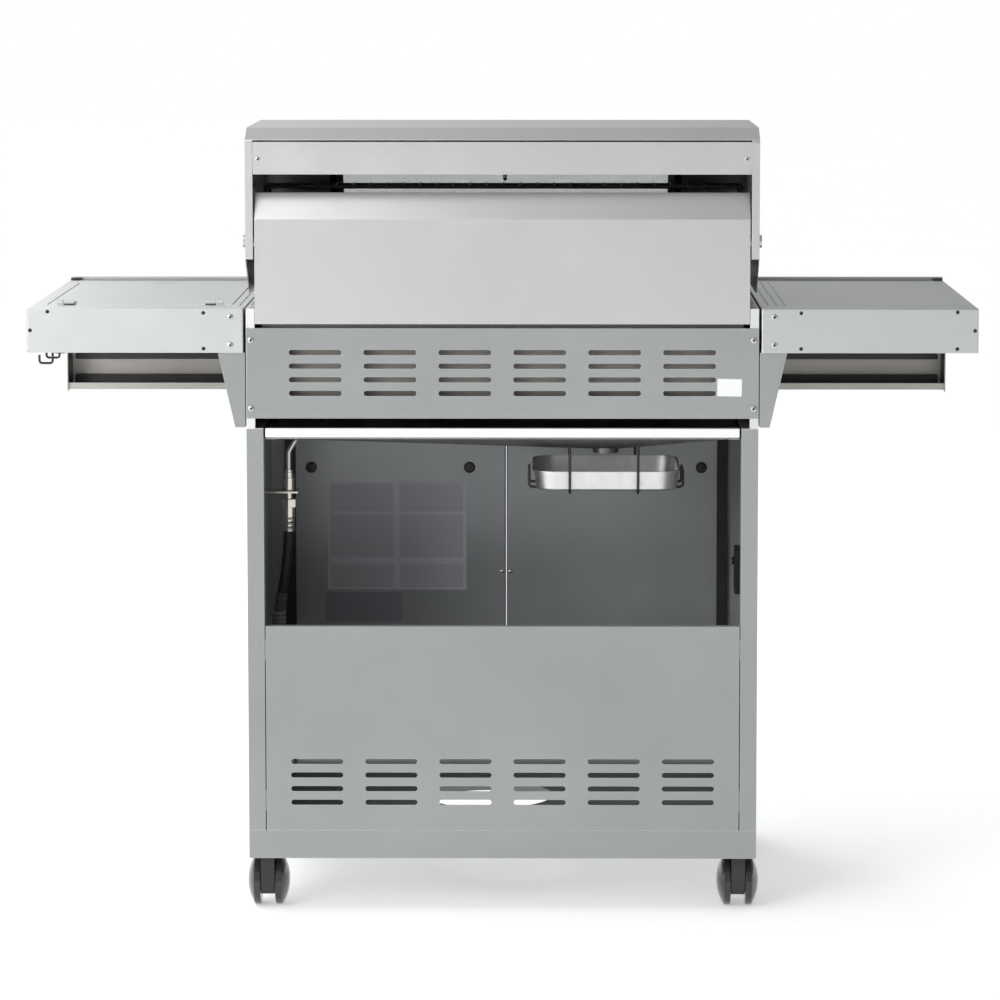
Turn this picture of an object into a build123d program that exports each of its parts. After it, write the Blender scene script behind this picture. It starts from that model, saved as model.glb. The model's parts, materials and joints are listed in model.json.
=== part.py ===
from build123d import *

import os
from math import pi, radians, tan

# Gas barbecue grill on a closed cart, with two side shelves and a side burner.
# Millimetres.  +X to the right as seen from the front, +Y to the rear, +Z up.
# The origin is on the floor, under the middle of the grill.

# ---- Driving dimensions --------------------------------------------------
SHEET = 1.5                 # thickness of the folded steel sheet
GAP = 0.5                   # small air gap between parts that pass each other
BODY_HALF = 365.0           # half width of the cart
SHELF_END = 677.0           # outer end of a side shelf
REAR = 283.0                # rear face of the cart
FRONT = -226.0              # front face of the cart's frame
PANEL_FRONT = -235.0        # front face of the control panel
BASE_Z = (81.0, 122.0)      # bottom shelf
CART_TOP = 703.0            # top of the cart's side panels
HEAD_TOP = 876.0            # top of the head frames and of the side shelves
PANEL_Z = (711.0, 881.0)    # control panel and side fascias
POST = 24.0                 # width of a corner post

SLOT = (75.0, 7.6)          # ventilation slot, length and width
SLOT_GROUPS = 6             # slot groups across a rear panel
SLOT_PITCH = 106.6          # distance between slot groups
SLOT_ROWS = 4

TANK_HOLE = (23.0, 39.0)    # centre of the gas bottle's hole in the base
TANK_HOLE_R = 95.0

TUB_X = 345.0               # half width of the firebox tub
TUB_Y = (-165.0, 248.0)
TUB_Z = (735.0, 893.0)
BURNER_X = (-240.0, -80.0, 80.0, 240.0)
BURNER_Z = 795.0
BURNER_R = 12.5
VALVE_Y = (-209.0, -185.0)
STEM_R = 4.0
STEM_END = -252.0
MANIFOLD_Y = -197.0
MANIFOLD_Z = 770.0
SUPPLY_X = 292.0            # where the gas supply leaves the manifold
SUPPLY_HOLE_R = 5.5

PIVOT_Y = 263.0             # lid pivot
PIVOT_Z = 971.0
PIVOT_R = 5.0
RUNNING = 0.05              # radial clearance of a pin that turns
LID_TOP = 1132.0
LID_OUTLINE = [(283.0, 947.0), (283.0, 1116.0), (246.0, 1132.0), (-47.0, 1132.0),
               (-205.0, 960.0), (-225.0, 893.0), (215.0, 893.0)]
LID_BENDS = [1.0, 8.0, 14.0, 30.0, 16.0, 1.0, 1.0]
SLOPE_TOP = Vector(0, -47.0, 1132.0)
SLOPE_FOOT = Vector(0, -205.0, 960.0)

SHELF_INNER = 368.5         # inner end of a side shelf
SHELF_Y = (-227.0, 283.0)
SHELF_Z = (813.0, HEAD_TOP)
SIDE_BURNER = (522.0, 25.0)  # centre of the side burner
BURNER_LID_X = (390.0, 654.0)
BURNER_LID_Y = (-162.0, 213.0)
BURNER_HINGE = (219.0, 879.5)

DOOR_X = (0.5, 336.5)
DOOR_Y = (-226.0, -203.0)
DOOR_Z = (127.0, 697.0)
DOOR_PIN = (331.5, -221.0)
DOOR_PIN_R = 3.0

CASTER_X = 341.0
CASTER_Y = (244.0, -187.0)
CASTER_TRAIL = 22.0
WHEEL_R = 37.0

TRAY_HALF = 338.0
TRAY_OUTLET = (-151.0, 33.0)
CUP_HEIGHT = (594.0, 623.0)
CUP_SIZE = (218.0, 198.0)
HANGER_WIRE_X = (-97.0, -197.0)

GAS_LINE = (320.0, 68.0)    # gas inlet fitting's axis
HOSE_R = 7.0
HOSE_ROUTE = [(320, 68, 547), (320, 68, 514), (327, 71, 450), (335, 74, 407)]
REGULATOR = (335.0, 74.0)
TANK_NUT_R = 16.7


# ---- Helpers ---------------------------------------------------------------
def block(x, y, z, mode=Mode.ADD):
    """Add or cut a box given by its two X, two Y and two Z values."""
    middle = ((x[0] + x[1]) / 2, (y[0] + y[1]) / 2, (z[0] + z[1]) / 2)
    with Locations(middle):
        Box(abs(x[1] - x[0]), abs(y[1] - y[0]), abs(z[1] - z[0]), mode=mode)


def rod(start, end, radius, mode=Mode.ADD):
    """Add or cut a round bar from one point to another."""
    run = Vector(*end) - Vector(*start)
    with Locations(Plane(origin=start, z_dir=run)):
        Cylinder(radius, run.length, align=(Align.CENTER, Align.CENTER, Align.MIN), mode=mode)


def bent_rod(points, radius, bend):
    """Add a round wire or tube along straight runs joined by arcs."""
    with BuildLine(mode=Mode.PRIVATE) as path:
        FilletPolyline(*points, radius=bend)
    with BuildSketch(Plane(origin=path.line @ 0, z_dir=path.line % 0), mode=Mode.PRIVATE) as section:
        Circle(radius)
    sweep(section.sketch, path=path.line)


def prism(plane, outline, amount, mode=Mode.ADD, both=False):
    """Extrude a closed outline of straight sides from a plane."""
    with BuildSketch(plane, mode=Mode.PRIVATE) as face:
        with BuildLine():
            Polyline(*outline, close=True)
        make_face()
    extrude(face.sketch, amount=amount, both=both, mode=mode)


def slot_field(rows):
    """Cut the ventilation slots through a rear panel; rows are slot heights."""
    across = [SLOT_PITCH * (i - (SLOT_GROUPS - 1) / 2) for i in range(SLOT_GROUPS)]
    with BuildSketch(Plane.XZ.offset(-REAR), mode=Mode.PRIVATE) as slots:
        with Locations(*[(x, z) for x in across for z in rows]):
            SlotOverall(SLOT[0], SLOT[1])
    extrude(slots.sketch, amount=5, both=True, mode=Mode.SUBTRACT)


def save(piece, name):
    """Label one finished piece and write its STEP file."""
    piece.label = name
    export_step(piece, "parts/" + name + ".step")


os.makedirs("parts", exist_ok=True)

# ---- Cart: bottom shelf ----------------------------------------------------
RIM = 14.0                  # width of the inward flange under a pressed shelf
SOCKET_R = 9.0
CASTER_PIN_R = 5.5

with BuildPart() as base_shelf:
    block((-BODY_HALF, BODY_HALF), (FRONT, REAR), BASE_Z)
    block((SHEET - BODY_HALF, BODY_HALF - SHEET), (FRONT + SHEET, REAR - SHEET),
          (BASE_Z[0] + SHEET, BASE_Z[1] - SHEET), Mode.SUBTRACT)
    block((RIM - BODY_HALF, BODY_HALF - RIM), (FRONT + RIM, REAR - RIM),
          (BASE_Z[0], BASE_Z[0] + SHEET), Mode.SUBTRACT)
    for side in (-1, 1):
        for stem_y in CASTER_Y:
            inward = -1 if stem_y > 0 else 1
            outer_y = REAR - SHEET if stem_y > 0 else FRONT + SHEET
            block((side * 300, side * (BODY_HALF - SHEET)), (stem_y + inward * 40, outer_y),
                  (BASE_Z[0], BASE_Z[0] + 3))
            rod((side * CASTER_X, stem_y, BASE_Z[0]), (side * CASTER_X, stem_y, BASE_Z[1] - SHEET), SOCKET_R)
            rod((side * CASTER_X, stem_y, BASE_Z[0] - 1), (side * CASTER_X, stem_y, BASE_Z[1] - 5),
                CASTER_PIN_R + RUNNING, Mode.SUBTRACT)
        rod((side * DOOR_PIN[0], DOOR_PIN[1], BASE_Z[1] - 3),
            (side * DOOR_PIN[0], DOOR_PIN[1], BASE_Z[1] + 1), DOOR_PIN_R + RUNNING, Mode.SUBTRACT)
    rod((*TANK_HOLE, BASE_Z[1] - 14), (*TANK_HOLE, BASE_Z[1]), TANK_HOLE_R + SHEET)
    rod((*TANK_HOLE, BASE_Z[0]), (*TANK_HOLE, BASE_Z[1] + 1), TANK_HOLE_R, Mode.SUBTRACT)
save(base_shelf.part, "base_shelf")


# ---- Cart: side panels with their corner posts and tray rails ---------------
def side_panel(side):
    """One side of the cart: a skin with a square post folded at each end."""
    inner = BODY_HALF - POST
    with BuildPart() as panel:
        block((side * (BODY_HALF - SHEET), side * BODY_HALF), (FRONT, REAR), (BASE_Z[1], CART_TOP))
        for y in ((FRONT, FRONT + POST), (REAR - POST, REAR)):
            block((side * inner, side * BODY_HALF), y, (BASE_Z[1], CART_TOP))
            block((side * (inner + SHEET), side * (BODY_HALF - SHEET)), (y[0] + SHEET, y[1] - SHEET),
                  (BASE_Z[1], CART_TOP), Mode.SUBTRACT)
        block((side * 326, side * (BODY_HALF - SHEET)), (FRONT + POST, REAR - POST), (686, 686 + SHEET))
    return panel.part


for side_name, side in (("left", -1), ("right", 1)):
    save(side_panel(side), "side_panel_" + side_name)

# ---- Cart: lower rear panel and front rail ----------------------------------
LOWER_PANEL_TOP = 419.0
LOWER_ROWS = [163.0 + 19.9 * i for i in range(SLOT_ROWS)]

with BuildPart() as rear_lower_panel:
    block((-339.5, 339.5), (REAR - SHEET, REAR), (BASE_Z[1], LOWER_PANEL_TOP))
    block((-339.5, 339.5), (REAR - 14, REAR), (LOWER_PANEL_TOP - SHEET, LOWER_PANEL_TOP))
    block((-339.5, 339.5), (REAR - 14, REAR - 14 + SHEET), (LOWER_PANEL_TOP - 9, LOWER_PANEL_TOP))
    for side in (-1, 1):
        for z in (150, 370):
            block((side * 325, side * (BODY_HALF - POST)), (REAR - 2 * SHEET, REAR - SHEET), (z, z + 30))
    slot_field(LOWER_ROWS)
save(rear_lower_panel.part, "rear_lower_panel")

RAIL_X = BODY_HALF - POST
RAIL_Y = (-225.5, -190.0)
RAIL_Z = (700.0, PANEL_Z[0])

with BuildPart() as front_top_rail:
    block((-RAIL_X, RAIL_X), RAIL_Y, RAIL_Z)
    block((-RAIL_X, RAIL_X), (RAIL_Y[0] + SHEET, RAIL_Y[1]), (RAIL_Z[0] + SHEET, RAIL_Z[1] - SHEET),
          Mode.SUBTRACT)
    rod((SUPPLY_X, MANIFOLD_Y, RAIL_Z[0] - 1), (SUPPLY_X, MANIFOLD_Y, RAIL_Z[1] + 1), SUPPLY_HOLE_R,
        Mode.SUBTRACT)
    for side in (-1, 1):
        rod((side * DOOR_PIN[0], DOOR_PIN[1], RAIL_Z[0] - 1),
            (side * DOOR_PIN[0], DOOR_PIN[1], RAIL_Z[0] + 3), DOOR_PIN_R + RUNNING, Mode.SUBTRACT)
save(front_top_rail.part, "front_top_rail")


# ---- Head: side frames, vent panel, control panel and fascias ---------------
GAS_TUBE_R = 4.0


def head_frame(side):
    """The sheet frame that carries the firebox on one side of the cart."""
    skin = BODY_HALF - SHEET
    with BuildPart() as frame:
        block((side * skin, side * BODY_HALF), (FRONT, 281), (CART_TOP, HEAD_TOP))
        block((side * 341, side * skin), (FRONT, 281), (CART_TOP, CART_TOP + SHEET))
        block((side * 352.5, side * skin), (281 - SHEET, 281), (CART_TOP, HEAD_TOP))
        block((side * 345, side * skin), (FRONT, FRONT + SHEET), (PANEL_Z[0] + 3, HEAD_TOP))
        block((side * 352.5, side * skin), (FRONT, 281), (HEAD_TOP - SHEET, HEAD_TOP))
        if side > 0:
            rod((skin - 1, MANIFOLD_Y, MANIFOLD_Z), (BODY_HALF + 1, MANIFOLD_Y, MANIFOLD_Z),
                2 * GAS_TUBE_R, Mode.SUBTRACT)
    return frame.part


for side_name, side in (("left", -1), ("right", 1)):
    save(head_frame(side), "head_frame_" + side_name)

VENT_PANEL_Z = (719.0, 848.0)
VENT_ROWS = [755.0 + 19.5 * i for i in range(SLOT_ROWS)]

with BuildPart() as rear_vent_panel:
    block((-364.5, 364.5), (281, 281 + SHEET), VENT_PANEL_Z)
    for z in (VENT_PANEL_Z[0], VENT_PANEL_Z[1] - SHEET):
        block((-350, 350), (273, 281), (z, z + SHEET))
    slot_field(VENT_ROWS)
save(rear_vent_panel.part, "rear_vent_panel")

STEM_HOLE_R = 7.0

with BuildPart() as control_panel:
    block((-BODY_HALF, BODY_HALF), (PANEL_FRONT, PANEL_FRONT + SHEET), PANEL_Z)
    block((-BODY_HALF, BODY_HALF), (PANEL_FRONT, -205), (PANEL_Z[1] - SHEET, PANEL_Z[1]))
    block((-BODY_HALF, BODY_HALF), (PANEL_FRONT, FRONT), (PANEL_Z[0], PANEL_Z[0] + SHEET))
    block((-RAIL_X, RAIL_X), (FRONT, RAIL_Y[1]), (PANEL_Z[0], PANEL_Z[0] + SHEET))
    for side in (-1, 1):
        block((side * (BODY_HALF - SHEET), side * BODY_HALF), (PANEL_FRONT, FRONT), PANEL_Z)
    fillet(control_panel.edges().filter_by(Axis.X).group_by(Axis.Y)[0], 1.0)
    rod((SUPPLY_X, MANIFOLD_Y, PANEL_Z[0] - 1), (SUPPLY_X, MANIFOLD_Y, PANEL_Z[0] + 3), SUPPLY_HOLE_R,
        Mode.SUBTRACT)
    for x in BURNER_X:
        rod((x, PANEL_FRONT - 1, BURNER_Z), (x, PANEL_FRONT + 3, BURNER_Z), STEM_HOLE_R, Mode.SUBTRACT)
save(control_panel.part, "control_panel")

FASCIA_BACK = -175.0        # rear edge of the fascia's bottom flange
END_CAP = [(PANEL_FRONT, 708), (PANEL_FRONT, PANEL_Z[1]), (SHELF_Y[0], PANEL_Z[1]),
           (SHELF_Y[0], SHELF_Z[0]), (-171, SHELF_Z[0]), (-171, 708)]


def fascia(side):
    """The front plate under one side shelf, with its bottom flange and end cap."""
    x = (side * (BODY_HALF + SHEET), side * (SHELF_END - SHEET))
    with BuildPart() as plate:
        block(x, (PANEL_FRONT, PANEL_FRONT + SHEET), PANEL_Z)
        block(x, (PANEL_FRONT, SHELF_Y[0]), (PANEL_Z[1] - SHEET, PANEL_Z[1]))
        block(x, (PANEL_FRONT, FASCIA_BACK), (PANEL_Z[0], PANEL_Z[0] + SHEET))
        block(x, (FASCIA_BACK - SHEET, FASCIA_BACK), (PANEL_Z[0], PANEL_Z[0] + 10))
        prism(Plane.YZ.offset(side * SHELF_END), END_CAP, -side * SHEET)
        if side > 0:
            rod((SIDE_BURNER[0], PANEL_FRONT - 1, BURNER_Z), (SIDE_BURNER[0], PANEL_FRONT + 3, BURNER_Z),
                STEM_HOLE_R, Mode.SUBTRACT)
    return plate.part


for side_name, side in (("left", -1), ("right", 1)):
    save(fascia(side), "fascia_" + side_name)

# ---- Firebox: rear panel with side wings, and the tub ------------------------
BACK_Y = 282.0              # rear face of the firebox panel
BACK_INNER = BACK_Y - SHEET
BACK_PROFILE = [(BACK_Y, 854), (BACK_Y, 1003), (257, 1040), (255.76, 1039.16),
                (BACK_INNER, 1002.5), (BACK_INNER, 854)]
WING_OUTLINE = [(-190, HEAD_TOP), (-190, 890), (180, 890), (230, 1003), (255.76, 1039.16),
                (BACK_INNER, 1002.5), (BACK_INNER, HEAD_TOP)]
WING_X = 352.0

with BuildPart() as firebox_rear_panel:
    prism(Plane.YZ, BACK_PROFILE, WING_X, both=True)
    for side in (-1, 1):
        prism(Plane.YZ.offset(side * WING_X), WING_OUTLINE, -side * SHEET)
        block((side * WING_X, side * 363), (-190, 240), (HEAD_TOP, HEAD_TOP + SHEET))
        rod((side * 349, PIVOT_Y, PIVOT_Z), (side * 354, PIVOT_Y, PIVOT_Z), PIVOT_R + RUNNING, Mode.SUBTRACT)
save(firebox_rear_panel.part, "firebox_rear_panel")

TUB_INNER_X = TUB_X - SHEET
TUB_INNER_Y = (TUB_Y[0] + SHEET, TUB_Y[1] - SHEET)
GRATE_Z = 876.5             # underside of the cooking grates
TENT_Z = 823.5              # where the heat tents rest

with BuildPart() as firebox_tub:
    block((-TUB_X, TUB_X), TUB_Y, TUB_Z)
    block((-350.5, 350.5), (-205, BACK_INNER), (TUB_Z[1] - SHEET, TUB_Z[1]))
    block((-TUB_INNER_X, TUB_INNER_X), TUB_INNER_Y, TUB_Z, Mode.SUBTRACT)
    for z in (GRATE_Z - SHEET, TENT_Z - SHEET):
        block((-TUB_X + SHEET / 2, TUB_X - SHEET / 2), (TUB_Y[0] + SHEET / 2, TUB_Y[0] + 12), (z, z + SHEET))
        block((-TUB_X + SHEET / 2, TUB_X - SHEET / 2), (TUB_Y[1] - 12, TUB_Y[1] - SHEET / 2), (z, z + SHEET))
    block((-TUB_X, TUB_X), TUB_Y, (TUB_Z[0], TUB_Z[0] + SHEET))
    block((-TUB_X + 30, TUB_X - 30), (TUB_Y[0] + 30, TUB_Y[1] - 30), (TUB_Z[0] - 1, TUB_Z[0] + 3),
          Mode.SUBTRACT)
    for x in BURNER_X:
        rod((x, TUB_Y[0] - 1, BURNER_Z), (x, TUB_Y[0] + 3, BURNER_Z), BURNER_R + GAP, Mode.SUBTRACT)
save(firebox_tub.part, "firebox_tub")

# ---- Burners, manifold and valves -------------------------------------------
with BuildPart() as burner_tubes:
    for x in BURNER_X:
        rod((x, -180, BURNER_Z), (x, TUB_INNER_Y[1], BURNER_Z), BURNER_R)
        rod((x, -181, BURNER_Z), (x, TUB_INNER_Y[1] - SHEET, BURNER_Z), BURNER_R - 1.2, Mode.SUBTRACT)
        with Locations(*[(x, -140 + 24 * i, BURNER_Z) for i in range(15)]):
            Cylinder(1.5, 40, rotation=(0, 90, 0), mode=Mode.SUBTRACT)
save(burner_tubes.part, "burner_tubes")


def valve(x, body_z):
    """A gas tap: its brass block and the stem that the knob turns."""
    block((x - 12, x + 12), VALVE_Y, body_z)
    rod((x, VALVE_Y[0] + 1, BURNER_Z), (x, -232, BURNER_Z), 5.5)
    rod((x, -232, BURNER_Z), (x, STEM_END, BURNER_Z), STEM_R)


with BuildPart() as gas_manifold:
    rod((-285, MANIFOLD_Y, MANIFOLD_Z), (305, MANIFOLD_Y, MANIFOLD_Z), 9.5)
    rod((305, MANIFOLD_Y, MANIFOLD_Z), (318, MANIFOLD_Y, MANIFOLD_Z), 6)
    rod((SUPPLY_X, MANIFOLD_Y, 752), (SUPPLY_X, MANIFOLD_Y, MANIFOLD_Z), 6)
    for x in BURNER_X:
        valve(x, (765, 807))
save(gas_manifold.part, "gas_manifold")

TENT_HALF = 45.0
TENT_RISE = 29.0
TENT_OUTLINE = [(-TENT_HALF, TENT_Z), (0, TENT_Z + TENT_RISE), (TENT_HALF, TENT_Z),
                (TENT_HALF - 2, TENT_Z), (0, TENT_Z + TENT_RISE - 1.8), (2 - TENT_HALF, TENT_Z)]

with BuildPart() as heat_tents:
    for x in BURNER_X:
        shifted = [(x + px, pz) for px, pz in TENT_OUTLINE]
        prism(Plane.XZ.offset(160), shifted, -403)
save(heat_tents.part, "heat_tents")

GRATE_WIDTH = 224.0
GRATE_Y = (-160.0, 243.0)
BAR = (6.0, 11.0)
GRATE_BARS = 13

with BuildPart() as cooking_grates:
    for middle in (-228.0, 0.0, 228.0):
        pitch = (GRATE_WIDTH - BAR[0]) / (GRATE_BARS - 1)
        for i in range(GRATE_BARS):
            x = middle - GRATE_WIDTH / 2 + BAR[0] / 2 + pitch * i
            block((x - BAR[0] / 2, x + BAR[0] / 2), GRATE_Y, (GRATE_Z, GRATE_Z + BAR[1]))
        for y in (GRATE_Y[0], -30, 105, GRATE_Y[1] - 8):
            block((middle - GRATE_WIDTH / 2, middle + GRATE_WIDTH / 2), (y, y + 8),
                  (GRATE_Z, GRATE_Z + BAR[1] - 3))
save(cooking_grates.part, "cooking_grates")

RACK_Y = (58.0, 150.0)
RACK_Z = 1041.0
RACK_END = 346.0
RACK_WIRES = 27

with BuildPart() as warming_rack:
    for side in (-1, 1):
        end = side * RACK_END
        bent_rod([(end, RACK_Y[0], TUB_Z[1]), (end, RACK_Y[0], RACK_Z), (end, RACK_Y[1], RACK_Z),
                  (end, RACK_Y[1], TUB_Z[1])], 3.0, 12)
    for y in (RACK_Y[0] + 14, sum(RACK_Y) / 2, RACK_Y[1] - 14):
        rod((-RACK_END, y, RACK_Z), (RACK_END, y, RACK_Z), 2.5)
    for i in range(RACK_WIRES):
        x = (i - (RACK_WIRES - 1) / 2) * 24.5
        rod((x, RACK_Y[0] + 8, RACK_Z + 1.5), (x, RACK_Y[1] - 8, RACK_Z + 1.5), 1.8)
save(warming_rack.part, "warming_rack")


# ---- Side shelves, brackets and tool hooks -----------------------------------
def slot_row(x, width, length, count, pitch):
    """Cut one row of short slots that runs front to back in a shelf top."""
    with BuildSketch(Plane.XY.offset(HEAD_TOP), mode=Mode.PRIVATE) as slots:
        with Locations(*[(x, 218 - pitch * i) for i in range(count)]):
            SlotOverall(length, width, rotation=90)
    extrude(slots.sketch, amount=4, both=True, mode=Mode.SUBTRACT)


def shelf(side):
    """A side shelf: a pan turned upside down with a narrow hem."""
    hem = 9.0
    with BuildPart() as pan:
        block((side * SHELF_INNER, side * SHELF_END), SHELF_Y, SHELF_Z)
        fillet(pan.edges().filter_by(Axis.Z), 2.0)
        fillet(pan.faces().sort_by(Axis.Z)[-1].edges(), 1.2)
        block((side * (SHELF_INNER + SHEET), side * (SHELF_END - SHEET)),
              (SHELF_Y[0] + SHEET, SHELF_Y[1] - SHEET), (SHELF_Z[0] + SHEET, SHELF_Z[1] - SHEET), Mode.SUBTRACT)
        block((side * (SHELF_INNER + hem), side * (SHELF_END - hem)),
              (SHELF_Y[0] + hem, SHELF_Y[1] - hem), (SHELF_Z[0], SHELF_Z[0] + SHEET), Mode.SUBTRACT)
        for x, z in ((425, 870), (425, 819), (647, 871.5), (672, 845)):
            rod((side * x, REAR - 3, z), (side * x, REAR + 1, z), 2.8, Mode.SUBTRACT)
        if side < 0:
            for inset in (12, 24, 36):
                slot_row(-SHELF_INNER - inset, 3.0, 27.0, 12, 36.0)
            rod((-647, REAR - 3, 819), (-647, REAR + 1, 819), 2.8, Mode.SUBTRACT)
        else:
            slot_row(SHELF_INNER + 9, 3.0, 27.0, 12, 36.0)
            block((BURNER_LID_X[0] - 2, BURNER_LID_X[1] + 2), (BURNER_LID_Y[0] - 2, BURNER_LID_Y[1] + 2),
                  (SHELF_Z[1] - 3, SHELF_Z[1] + 1), Mode.SUBTRACT)
            for x in (402, 632):
                rod((x, *BURNER_HINGE), (x + 10, *BURNER_HINGE), 3.5)
                block((x, x + 10), (BURNER_HINGE[0] - 3.5, BURNER_HINGE[0] + 3.5), (HEAD_TOP - 1, BURNER_HINGE[1]))
                rod((x - 1, *BURNER_HINGE), (x + 11, *BURNER_HINGE), 1.5 + RUNNING, Mode.SUBTRACT)
    return pan.part


for side_name, side in (("left", -1), ("right", 1)):
    save(shelf(side), "shelf_" + side_name)

BRACKET_Y = (-170.0, 281.0)
BRACKET_FOOT = 706.0
BRACKET_FRONT = 366.5

with BuildPart() as shelf_brackets:
    for side in (-1, 1):
        gusset = [(side * BRACKET_FRONT, BRACKET_FOOT), (side * 381, BRACKET_FOOT), (side * 405, SHELF_Z[0] - SHEET),
                  (side * 405, SHELF_Z[0]), (side * BRACKET_FRONT, SHELF_Z[0])]
        for y in (BRACKET_Y[0] + SHEET, BRACKET_Y[1]):
            prism(Plane.XZ.offset(-y), gusset, SHEET)
        block((side * BRACKET_FRONT, side * (BRACKET_FRONT + SHEET)), BRACKET_Y, (BRACKET_FOOT, SHELF_Z[0]))
        block((side * BRACKET_FRONT, side * 405), BRACKET_Y, (SHELF_Z[0] - SHEET, SHELF_Z[0]))
        for y in (-140, 240):
            for z in (730, 790):
                rod((side * BODY_HALF, y, z), (side * BRACKET_FRONT, y, z), 6)
save(shelf_brackets.part, "shelf_brackets")

HOOK_X = (648.0, 667.0)
HOOK_WIRE_R = 1.7

with BuildPart() as tool_hooks:
    block((HOOK_X[0] - 5, SHELF_END - 1), (48, 242), (SHELF_Z[0] - SHEET, SHELF_Z[0]))
    for y in (67, 145, 223):
        bent_rod([(HOOK_X[0], y, SHELF_Z[0] - 0.5), (HOOK_X[0], y, 792), (HOOK_X[1], y, 792),
                  (HOOK_X[1], y, 804)], HOOK_WIRE_R, 4)
save(tool_hooks.part, "tool_hooks")

# ---- Side burner --------------------------------------------------------------
BOWL_X = (384.5, 659.5)
BOWL_Y = (-167.5, 217.0)
BOWL_FLOOR = 826.0
BOWL_TOP = HEAD_TOP - SHEET

with BuildPart() as side_burner:
    block(BOWL_X, BOWL_Y, (BOWL_FLOOR, BOWL_TOP))
    fillet(side_burner.edges().filter_by(Axis.Z), 10)
    with BuildSketch(Plane.XY.offset(BOWL_TOP)):
        with Locations((sum(BOWL_X) / 2, sum(BOWL_Y) / 2)):
            RectangleRounded(BOWL_X[1] - BOWL_X[0] - 2 * SHEET, BOWL_Y[1] - BOWL_Y[0] - 2 * SHEET, 8.5)
    extrude(amount=BOWL_FLOOR - BOWL_TOP + SHEET, mode=Mode.SUBTRACT)
    rod((*SIDE_BURNER, 808), (*SIDE_BURNER, 850), 14)
    rod((SIDE_BURNER[0], -150, 808), (*SIDE_BURNER, 808), 11)
    rod((*SIDE_BURNER, 846), (*SIDE_BURNER, 858), 45)
    rod((*SIDE_BURNER, 856), (*SIDE_BURNER, 862), 38)
save(side_burner.part, "side_burner")

GRATE_FINGER = (18.0, 125.0)  # inner and outer reach of a finger
FINGER_TOP = 870.0

with BuildPart() as side_burner_grate:
    for angle in (45, 135, 225, 315):
        turned = Plane(origin=(*SIDE_BURNER, 0), x_dir=Vector(1, 0, 0).rotate(Axis.Z, angle), z_dir=(0, 0, 1))
        with Locations(turned):
            with Locations((sum(GRATE_FINGER) / 2, 0, FINGER_TOP - 3)):
                Box(GRATE_FINGER[1] - GRATE_FINGER[0], 5, 6)
            with Locations((GRATE_FINGER[1] - 4, 0, (FINGER_TOP + BOWL_FLOOR + SHEET) / 2)):
                Box(8, 5, FINGER_TOP - BOWL_FLOOR - SHEET)
    with Locations((*SIDE_BURNER, FINGER_TOP - 3.5)):
        Torus(62, 2.5)
save(side_burner_grate.part, "side_burner_grate")

with BuildPart() as side_burner_gas_tube:
    valve(SIDE_BURNER[0], (783, 807))
    rod((SIDE_BURNER[0], VALVE_Y[1], 802), (SIDE_BURNER[0], -151, 802), 4)
    bent_rod([(318, MANIFOLD_Y, MANIFOLD_Z), (462, MANIFOLD_Y, MANIFOLD_Z), (484, MANIFOLD_Y, BURNER_Z),
              (SIDE_BURNER[0] - 11, MANIFOLD_Y, BURNER_Z)], GAS_TUBE_R, 14)
save(side_burner_gas_tube.part, "side_burner_gas_tube")

NOTCH = (29.0, 13.0)        # half width and depth of the finger notch

with BuildPart() as side_burner_lid:
    block(BURNER_LID_X, BURNER_LID_Y, (866, 876.4))
    fillet(side_burner_lid.faces().sort_by(Axis.Z)[-1].edges(), 1.0)
    block((BURNER_LID_X[0] + SHEET, BURNER_LID_X[1] - SHEET), (BURNER_LID_Y[0] + SHEET, BURNER_LID_Y[1] - SHEET),
          (866, 876.4 - SHEET), Mode.SUBTRACT)
    with BuildSketch(Plane.XY.offset(860)):
        with Locations((SIDE_BURNER[0], BURNER_LID_Y[0])):
            Ellipse(*NOTCH)
    extrude(amount=20, mode=Mode.SUBTRACT)
    for x in (413, 616):
        block((x, x + 15), (BURNER_LID_Y[1] - 20, BURNER_HINGE[0]), (876.4, BURNER_HINGE[1] - 0.5))
        rod((x, *BURNER_HINGE), (x + 15, *BURNER_HINGE), 3.0)
    rod((403, *BURNER_HINGE), (414, *BURNER_HINGE), 1.5)
    rod((630, *BURNER_HINGE), (641, *BURNER_HINGE), 1.5)
save(side_burner_lid.part, "side_burner_lid")

# ---- Fasteners of the fixed body: screw heads and lid pivots ------------------
SCREW_R = 4.2
SCREW_HEAD = 2.0
PANEL_SCREWS = [(358, 831), (358, 733)]
APRON_SCREWS = [(387, 864), (387, 824)]

with BuildPart() as body_fasteners:
    for side in (-1, 1):
        for x, z in PANEL_SCREWS:
            rod((side * x, 281 + SHEET, z), (side * x, 281 + SHEET + SCREW_HEAD, z), SCREW_R)
        for x, z in APRON_SCREWS:
            rod((side * x, REAR, z), (side * x, REAR + SCREW_HEAD, z), SCREW_R)
        rod((side * 346.5, PIVOT_Y, PIVOT_Z), (side * 369, PIVOT_Y, PIVOT_Z), PIVOT_R)
        rod((side * 346.5, PIVOT_Y, PIVOT_Z), (side * 350.5, PIVOT_Y, PIVOT_Z), 9)
        rod((side * WING_X, PIVOT_Y, PIVOT_Z), (side * 363, PIVOT_Y, PIVOT_Z), 8)
        rod((side * 365.5, PIVOT_Y, PIVOT_Z), (side * 369, PIVOT_Y, PIVOT_Z), 9)
save(body_fasteners.part, "body_fasteners")

# ---- Gas line in the cabinet ---------------------------------------------------
with BuildPart() as gas_supply_tube:
    bent_rod([(SUPPLY_X, MANIFOLD_Y, 752), (SUPPLY_X, MANIFOLD_Y, 668), (306, GAS_LINE[1], 668),
              (GAS_LINE[0], GAS_LINE[1], 644), (GAS_LINE[0], GAS_LINE[1], 618)], GAS_TUBE_R, 12)
save(gas_supply_tube.part, "gas_supply_tube")

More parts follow.
